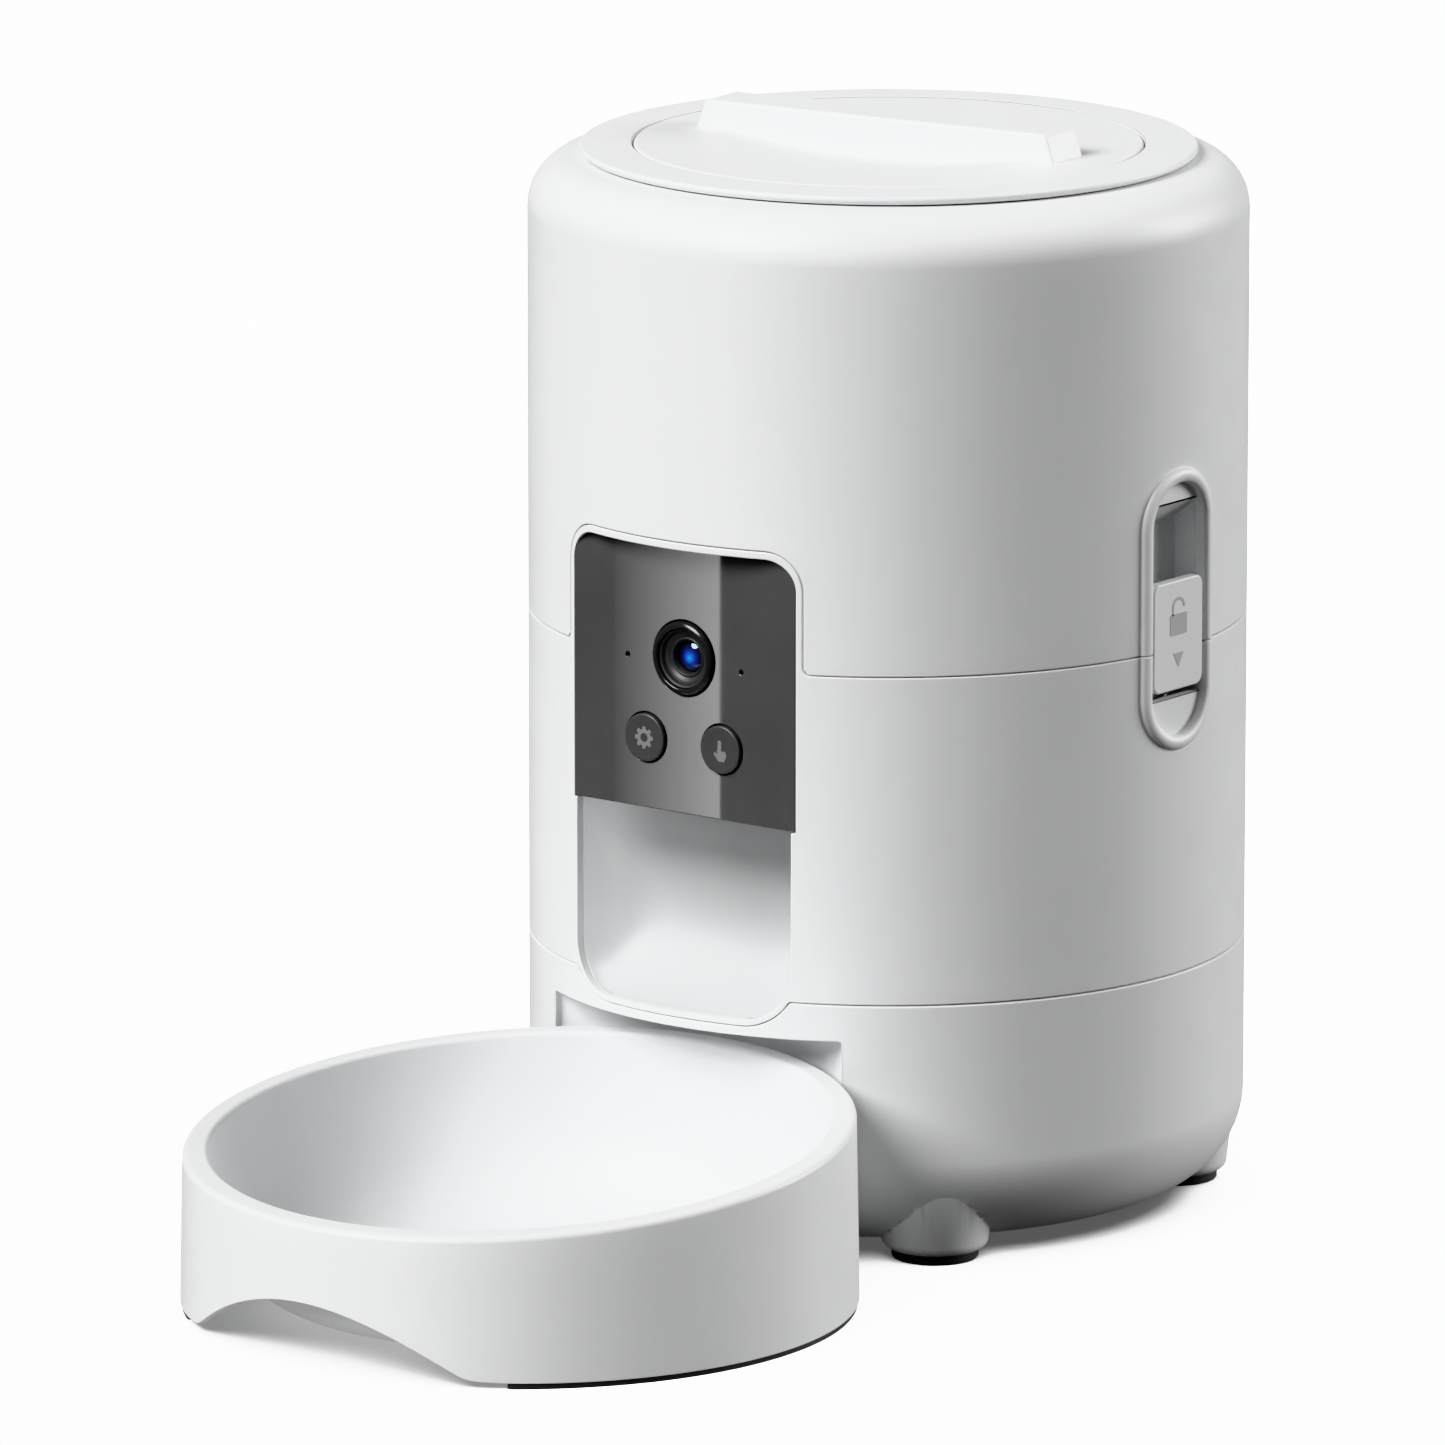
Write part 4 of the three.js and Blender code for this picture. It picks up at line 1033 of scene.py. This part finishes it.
def make_knob():
    low, high = cad("lid_knob")
    top = cad("lid_frame")[1].z
    depth, reach = 3.5, 46.0
    ball = (reach ** 2 + depth ** 2) / 2 / depth
    span = math.asin(reach / ball)
    dish = [(ball * math.sin(a), top - depth + ball * (1 - math.cos(a)))
            for a in steps_between(0, span, 0.012)]
    face = dish + [(reach + 2, top), (KNOB_R - 0.9, top)] + arc(KNOB_R - 0.9, top - 0.9, 0.9, 90, 0, 6)
    disc = spin(face + [(KNOB_R, 290.4), (0, 290.4)], 192, closed=False)
    bar_line = [(-57.4, 291), (57.4, 291), (57.4, top - 1)]
    bar_line += arc(53.3, high.z - 1.6, 1.6, 12, 90, 6) + arc(-53.3, high.z - 1.6, 1.6, 90, 168, 6)
    bar_line += [(-57.4, top - 1)]
    bar = prism(bar_line, -8.15, 8.15, "y")
    hub = turned_ring(6.5, 12.1, low.z, 291, 64)
    turn = Matrix.Rotation(HANDLE_TURN, 4, "Z")
    knob = join(disc, hub).merge(bar).moved(turn)
    piece("turn_knob", knob, "lid_knob", WHITE, ["lid_knob"], 0.9, 4, 40, 0.01)


# ---------- bowl ----------
def smooth_line(points, steps=10):
    """A curve through points, with the pull of the neighbours at each."""
    line = []
    for i in range(len(points) - 1):
        p = [Vector(points[max(0, min(len(points) - 1, i + k))]) for k in (-1, 0, 1, 2)]
        for j in range(steps):
            t = j / steps
            square = (2 * p[0] - 5 * p[1] + 4 * p[2] - p[3]) * t * t
            cube = (3 * p[1] - p[0] - 3 * p[2] + p[3]) * t ** 3
            line.append(0.5 * ((2 * p[1]) + (p[2] - p[0]) * t + square + cube))
    return line + [Vector(points[-1])]


def trimmed(line, top, count):
    """The part of a rising curve under a height, with evenly spread points."""
    kept = [line[0]]
    for a, b in zip(line, line[1:]):
        if b.y >= top:
            kept.append(a.lerp(b, (top - a.y) / (b.y - a.y)))
            break
        kept.append(b)
    lengths = [0.0]
    for a, b in zip(kept, kept[1:]):
        lengths.append(lengths[-1] + (b - a).length)
    result, i = [], 0
    for k in range(count):
        want = lengths[-1] * k / (count - 1)
        while i < len(kept) - 2 and lengths[i + 1] < want:
            i += 1
        share = (want - lengths[i]) / max(lengths[i + 1] - lengths[i], 1e-9)
        result.append(kept[i].lerp(kept[i + 1], min(share, 1)))
    return result


def make_bowl_ring():
    """The dark anti-slip ring under the skirt, open under the arch, with round ends."""
    radius = BOWL_FOOT_R - 1.6
    start, end = math.radians(37), TAU - math.radians(41)
    section = [(-1.1, 0.25), (-0.85, 0), (0.85, 0), (1.1, 0.25), (1.2, 1.75), (-1.2, 1.75)]
    # Angles along the ring, each with the share of its full width.
    stations = [(start - 0.012, 0.3), (start - 0.008, 0.75)]
    stations += [(a, 1) for a in steps_between(start, end, 0.03)]
    stations += [(end + 0.008, 0.75), (end + 0.012, 0.3)]
    rings = [[((radius + r * w) * math.sin(a), BOWL_Y - (radius + r * w) * math.cos(a), z)
              for r, z in section] for a, w in stations]
    piece("anti_slip_ring", loft(rings), "bowl", RUBBER, ["bowl_foot_ring"], 0)


def make_bowl():
    rim_r = 88
    edge_in, edge_out = 1.5, 1.9
    skirt_r = BOWL_RIM_R + 0.42
    inner = smooth_line([(58, 5.2), (63, 5.7), (68, 7.4), (72.5, 10.6), (76.6, 15.2),
                         (79.8, 20.8), (82.2, 28), (83.8, 37), (84.6, 48), (85.0, 60)])
    outer = smooth_line([(59, 3.0), (64, 3.5), (69.2, 5.4), (74.2, 8.9), (78.6, 13.9),
                         (82.0, 19.9), (84.4, 27.5), (86.0, 37), (86.8, 48), (87.2, 60)])
    count = 288
    grid = []
    for k in range(count):
        angle = TAU * k / count
        slope = 0.091 * math.cos(angle)
        rim = 48.5 - slope * rim_r
        line = [(0.01, 5.2), (20, 5.2), (40, 5.2), (52, 5.2)]
        line += [tuple(p) for p in trimmed(inner, rim + slope * 3 - edge_in, 26)]
        r_in = line[-1][0]
        level = rim + slope * (rim_r - r_in - edge_in)
        line += arc(r_in + edge_in, level - edge_in, edge_in, 180, 90, 6)[1:]
        level = rim - slope * (skirt_r - rim_r - edge_out)
        line += arc(skirt_r - edge_out, level - edge_out, edge_out, 90, 0, 7)
        # The arch in the skirt, with its middle at the front.
        offset = (angle - math.radians(-1.2) + math.pi) % TAU - math.pi
        share = abs(offset) / math.radians(30.2)
        arch = 16.9 * math.cos(math.pi * share / 2) ** 0.88 if share < 1 else 26.5 * (1 - share)
        foot = 1.6 + (arch + math.hypot(arch, 2.2)) / 2 - 0.05
        start = level - edge_out
        fall = [start + (foot - start) * j / 8 for j in range(1, 9)]

        def skirt(z):
            return BOWL_RIM_R + (BOWL_FOOT_R - BOWL_RIM_R) * (70 - z) / 68.4

        line += [(skirt(z), z) for z in fall]
        line += [(skirt(z) - 2.2, z) for z in reversed(fall)]
        line += [(skirt(start) - 2.2, rim - 4.5 - slope * 2)]
        line += [tuple(p) for p in reversed(trimmed(outer, rim - 4.5, 24))]
        line += [(52, 3.0), (40, 3.0), (20, 3.0), (0.01, 3.0)]
        grid.append([(r * math.sin(angle), BOWL_Y - r * math.cos(angle), z) for r, z in line])
    columns = len(grid[0])
    faces = []
    for k in range(count):
        n = (k + 1) % count
        faces += [(k * columns + j, k * columns + j + 1, n * columns + j + 1, n * columns + j)
                  for j in range(columns - 1)]
    faces += [tuple(k * columns + j for k in range(count)) for j in (0, columns - 1)]
    body = Body().add([p for row in grid for p in row], faces)
    return piece("food_bowl", body, "bowl", BOWL_WHITE_PAINTED_SHADE, ["bowl"], 0.35, 3, 50, 0.001)


# ---------- internal nodes kept from the CAD ----------
FINISH = {
    "white_plastic": WHITE, "bin_plastic": BIN, "black_gloss": PANEL, "dark_plastic": DARK,
    "lens_glass": LENS_WITH_PAINTED_GLINT, "light_pipe": LIGHT_PIPE, "circuit_board": BOARD, "silicone": SILICONE,
    "rubber": RUBBER, "natural_plastic": ACETAL, "steel": STEEL, "cell_jacket": CELL,
}


def dress_cad_nodes():
    slots = {part["node"]: part["material_slot"] for part in frame["record"]["subparts"]}
    for name, obj in frame["nodes"].items():
        if obj.hide_render:
            continue
        obj.data.materials.clear()
        obj.data.materials.append(FINISH[slots[name]])
        obj.data.shade_smooth()
        weld = obj.modifiers.new("weld", "WELD")
        weld.merge_threshold = 0.002 * MM
        add_bevel(obj, 0.12 if "spring" in name or "screw" in name else 0.3, 2, 38)


# ---------- room, light and camera ----------
def stage_material(name, color, roughness):
    n = Nodes(name, color, roughness)
    n.link(n.ramp(n.noise(3, 2), roughness - 0.05, roughness + 0.05), n.shader.inputs["Roughness"])
    return n.material


def make_stage():
    """A wide flat sheet of paper."""
    rim = [(x, y, 0) for x, y in circle(0, 0, 14)]
    mesh = bpy.data.meshes.new("paper_floor")
    mesh.from_pydata(rim, [], [tuple(range(64))])
    floor = add_object("paper_floor", mesh)
    mesh.materials.append(stage_material("paper", (0.9, 0.9, 0.9), 0.8))
    # The paper is bright for the camera only, so it throws no light back under the object.
    floor.visible_diffuse = False
    floor.visible_glossy = False
    floor.visible_shadow = False
    return floor


def view_axes():
    back = Vector((math.sin(AZIMUTH) * math.cos(ELEVATION), -math.cos(AZIMUTH) * math.cos(ELEVATION),
                   math.sin(ELEVATION)))
    right = Vector((math.cos(AZIMUTH), math.sin(AZIMUTH), 0))
    return back, right, back.cross(right)


def make_camera_view():
    back, right, up = view_axes()
    data = bpy.data.cameras.new("camera")
    data.lens = LENS_LENGTH
    data.sensor_width = 36
    camera = add_object("camera", data)
    target = Vector((0, AXIS_Y, AIM_HEIGHT)) - right * AIM_LEFT - up * AIM_DOWN
    camera.location = target + back * DISTANCE
    camera.rotation_euler = (math.pi / 2 - ELEVATION, 0, AZIMUTH)
    bpy.context.scene.camera = camera


def sun(name, turn, height, strength, spread, only=(), without=()):
    """A broad distant light. Angles are in degrees, turn is counted from the camera to its right."""
    data = bpy.data.lights.new(name, "SUN")
    data.energy = strength
    data.angle = math.radians(spread)
    light = add_object(name, data)
    around, up = AZIMUTH + math.radians(turn), math.radians(height)
    source = Vector((math.sin(around) * math.cos(up), -math.cos(around) * math.cos(up), math.sin(up)))
    light.rotation_euler = source.to_track_quat("Z", "Y").to_euler()
    receivers = bpy.data.collections.new(f"{name}_receivers")
    for obj in only or without:
        receivers.objects.link(obj)
    for entry in receivers.collection_objects:
        entry.light_linking.link_state = "EXCLUDE" if without else "INCLUDE"
    light.light_linking.receiver_collection = receivers
    return light


def make_lights(panel, chute, bowl, floor):
    world = bpy.data.worlds.new("studio")
    bpy.context.scene.world = world
    world.use_nodes = True
    tree = world.node_tree
    coords = tree.nodes.new("ShaderNodeTexCoord")
    split = tree.nodes.new("ShaderNodeSeparateXYZ")
    fade = fill(tree.nodes.new("ShaderNodeMapRange"), From_Min=-0.25, From_Max=0.35, To_Min=0.06, To_Max=0.14)
    background = fill(tree.nodes["Background"], Color=(1, 1, 1, 1))
    tree.links.new(coords.outputs["Generated"], split.inputs["Vector"])
    tree.links.new(split.outputs["Z"], fade.inputs["Value"])
    tree.links.new(fade.outputs["Result"], background.inputs["Strength"])
    sun("key", -55, 37, 4.1, 34, without=[floor, chute])
    sun("rim", 105, 14, 2.65, 30, without=[floor])
    # The food mouth has its own steeper key, so the panel throws a deeper shadow into it.
    sun("mouth_key", -55, 50, 3.15, 30, only=[chute])
    sun("mouth_fill", 32, 5, 0.95, 30, only=[chute])
    sun("top", -20, 80, 0.4, 60, without=[floor])
    sun("floor_wash", -30, 80, 16.5, 100, only=[floor])
    sun("floor_fill", -30, 80, 3.5, 100, only=[floor]).data.use_shadow = False
    # What a white floor sends up under the bowl, seen through the arch of its skirt.
    sun("underglow", -30, -78, 1.6, 60, only=[bowl])
    make_panel_card(panel)


def make_panel_card(panel):
    """A soft box that only the glossy panel mirrors, fading out towards the left."""
    back, _, _ = view_axes()
    seen = Vector((-back.x, back.y, -back.z))
    distance = 0.42
    half_x, half_z = 0.0201, 0.058
    mesh = bpy.data.meshes.new("soft_box")
    corners = [(x * half_x, 0, z * half_z) for x, z in ((-1, -1), (1, -1), (1, 1), (-1, 1))]
    mesh.from_pydata(corners, [], [(0, 1, 2, 3)])
    card = add_object("soft_box", mesh)
    card.location = Vector((-0.0078, PANEL_Y * MM + AXIS_Y, 0.160)) + seen * distance
    n = Nodes("soft_box", (0, 0, 0), 1.0)
    separate = n.node("SeparateXYZ")
    n.link(n.place, separate.inputs["Vector"])
    glow = n.ramp(separate.outputs["X"], 0.3, 5.7, -half_x, half_x)
    fill(n.shader, Emission_Color=(1, 1, 1, 1))
    n.link(glow, n.shader.inputs["Emission Strength"])
    mesh.materials.append(n.material)
    card.visible_camera = False
    card.visible_diffuse = False
    card.visible_shadow = False
    receivers = bpy.data.collections.new("mirrors_soft_box")
    receivers.objects.link(panel)
    card.light_linking.receiver_collection = receivers


make_hopper()
make_middle()
make_base()
food_chute = make_chute()
panel_face = make_panel()
make_camera()
make_buttons()
make_latches()
make_lid()
make_knob()
food_bowl = make_bowl()
make_bowl_ring()
dress_cad_nodes()
paper_floor = make_stage()
make_camera_view()
make_lights(panel_face, food_chute, food_bowl, paper_floor)
bpy.context.scene.view_settings.view_transform = "Khronos PBR Neutral"
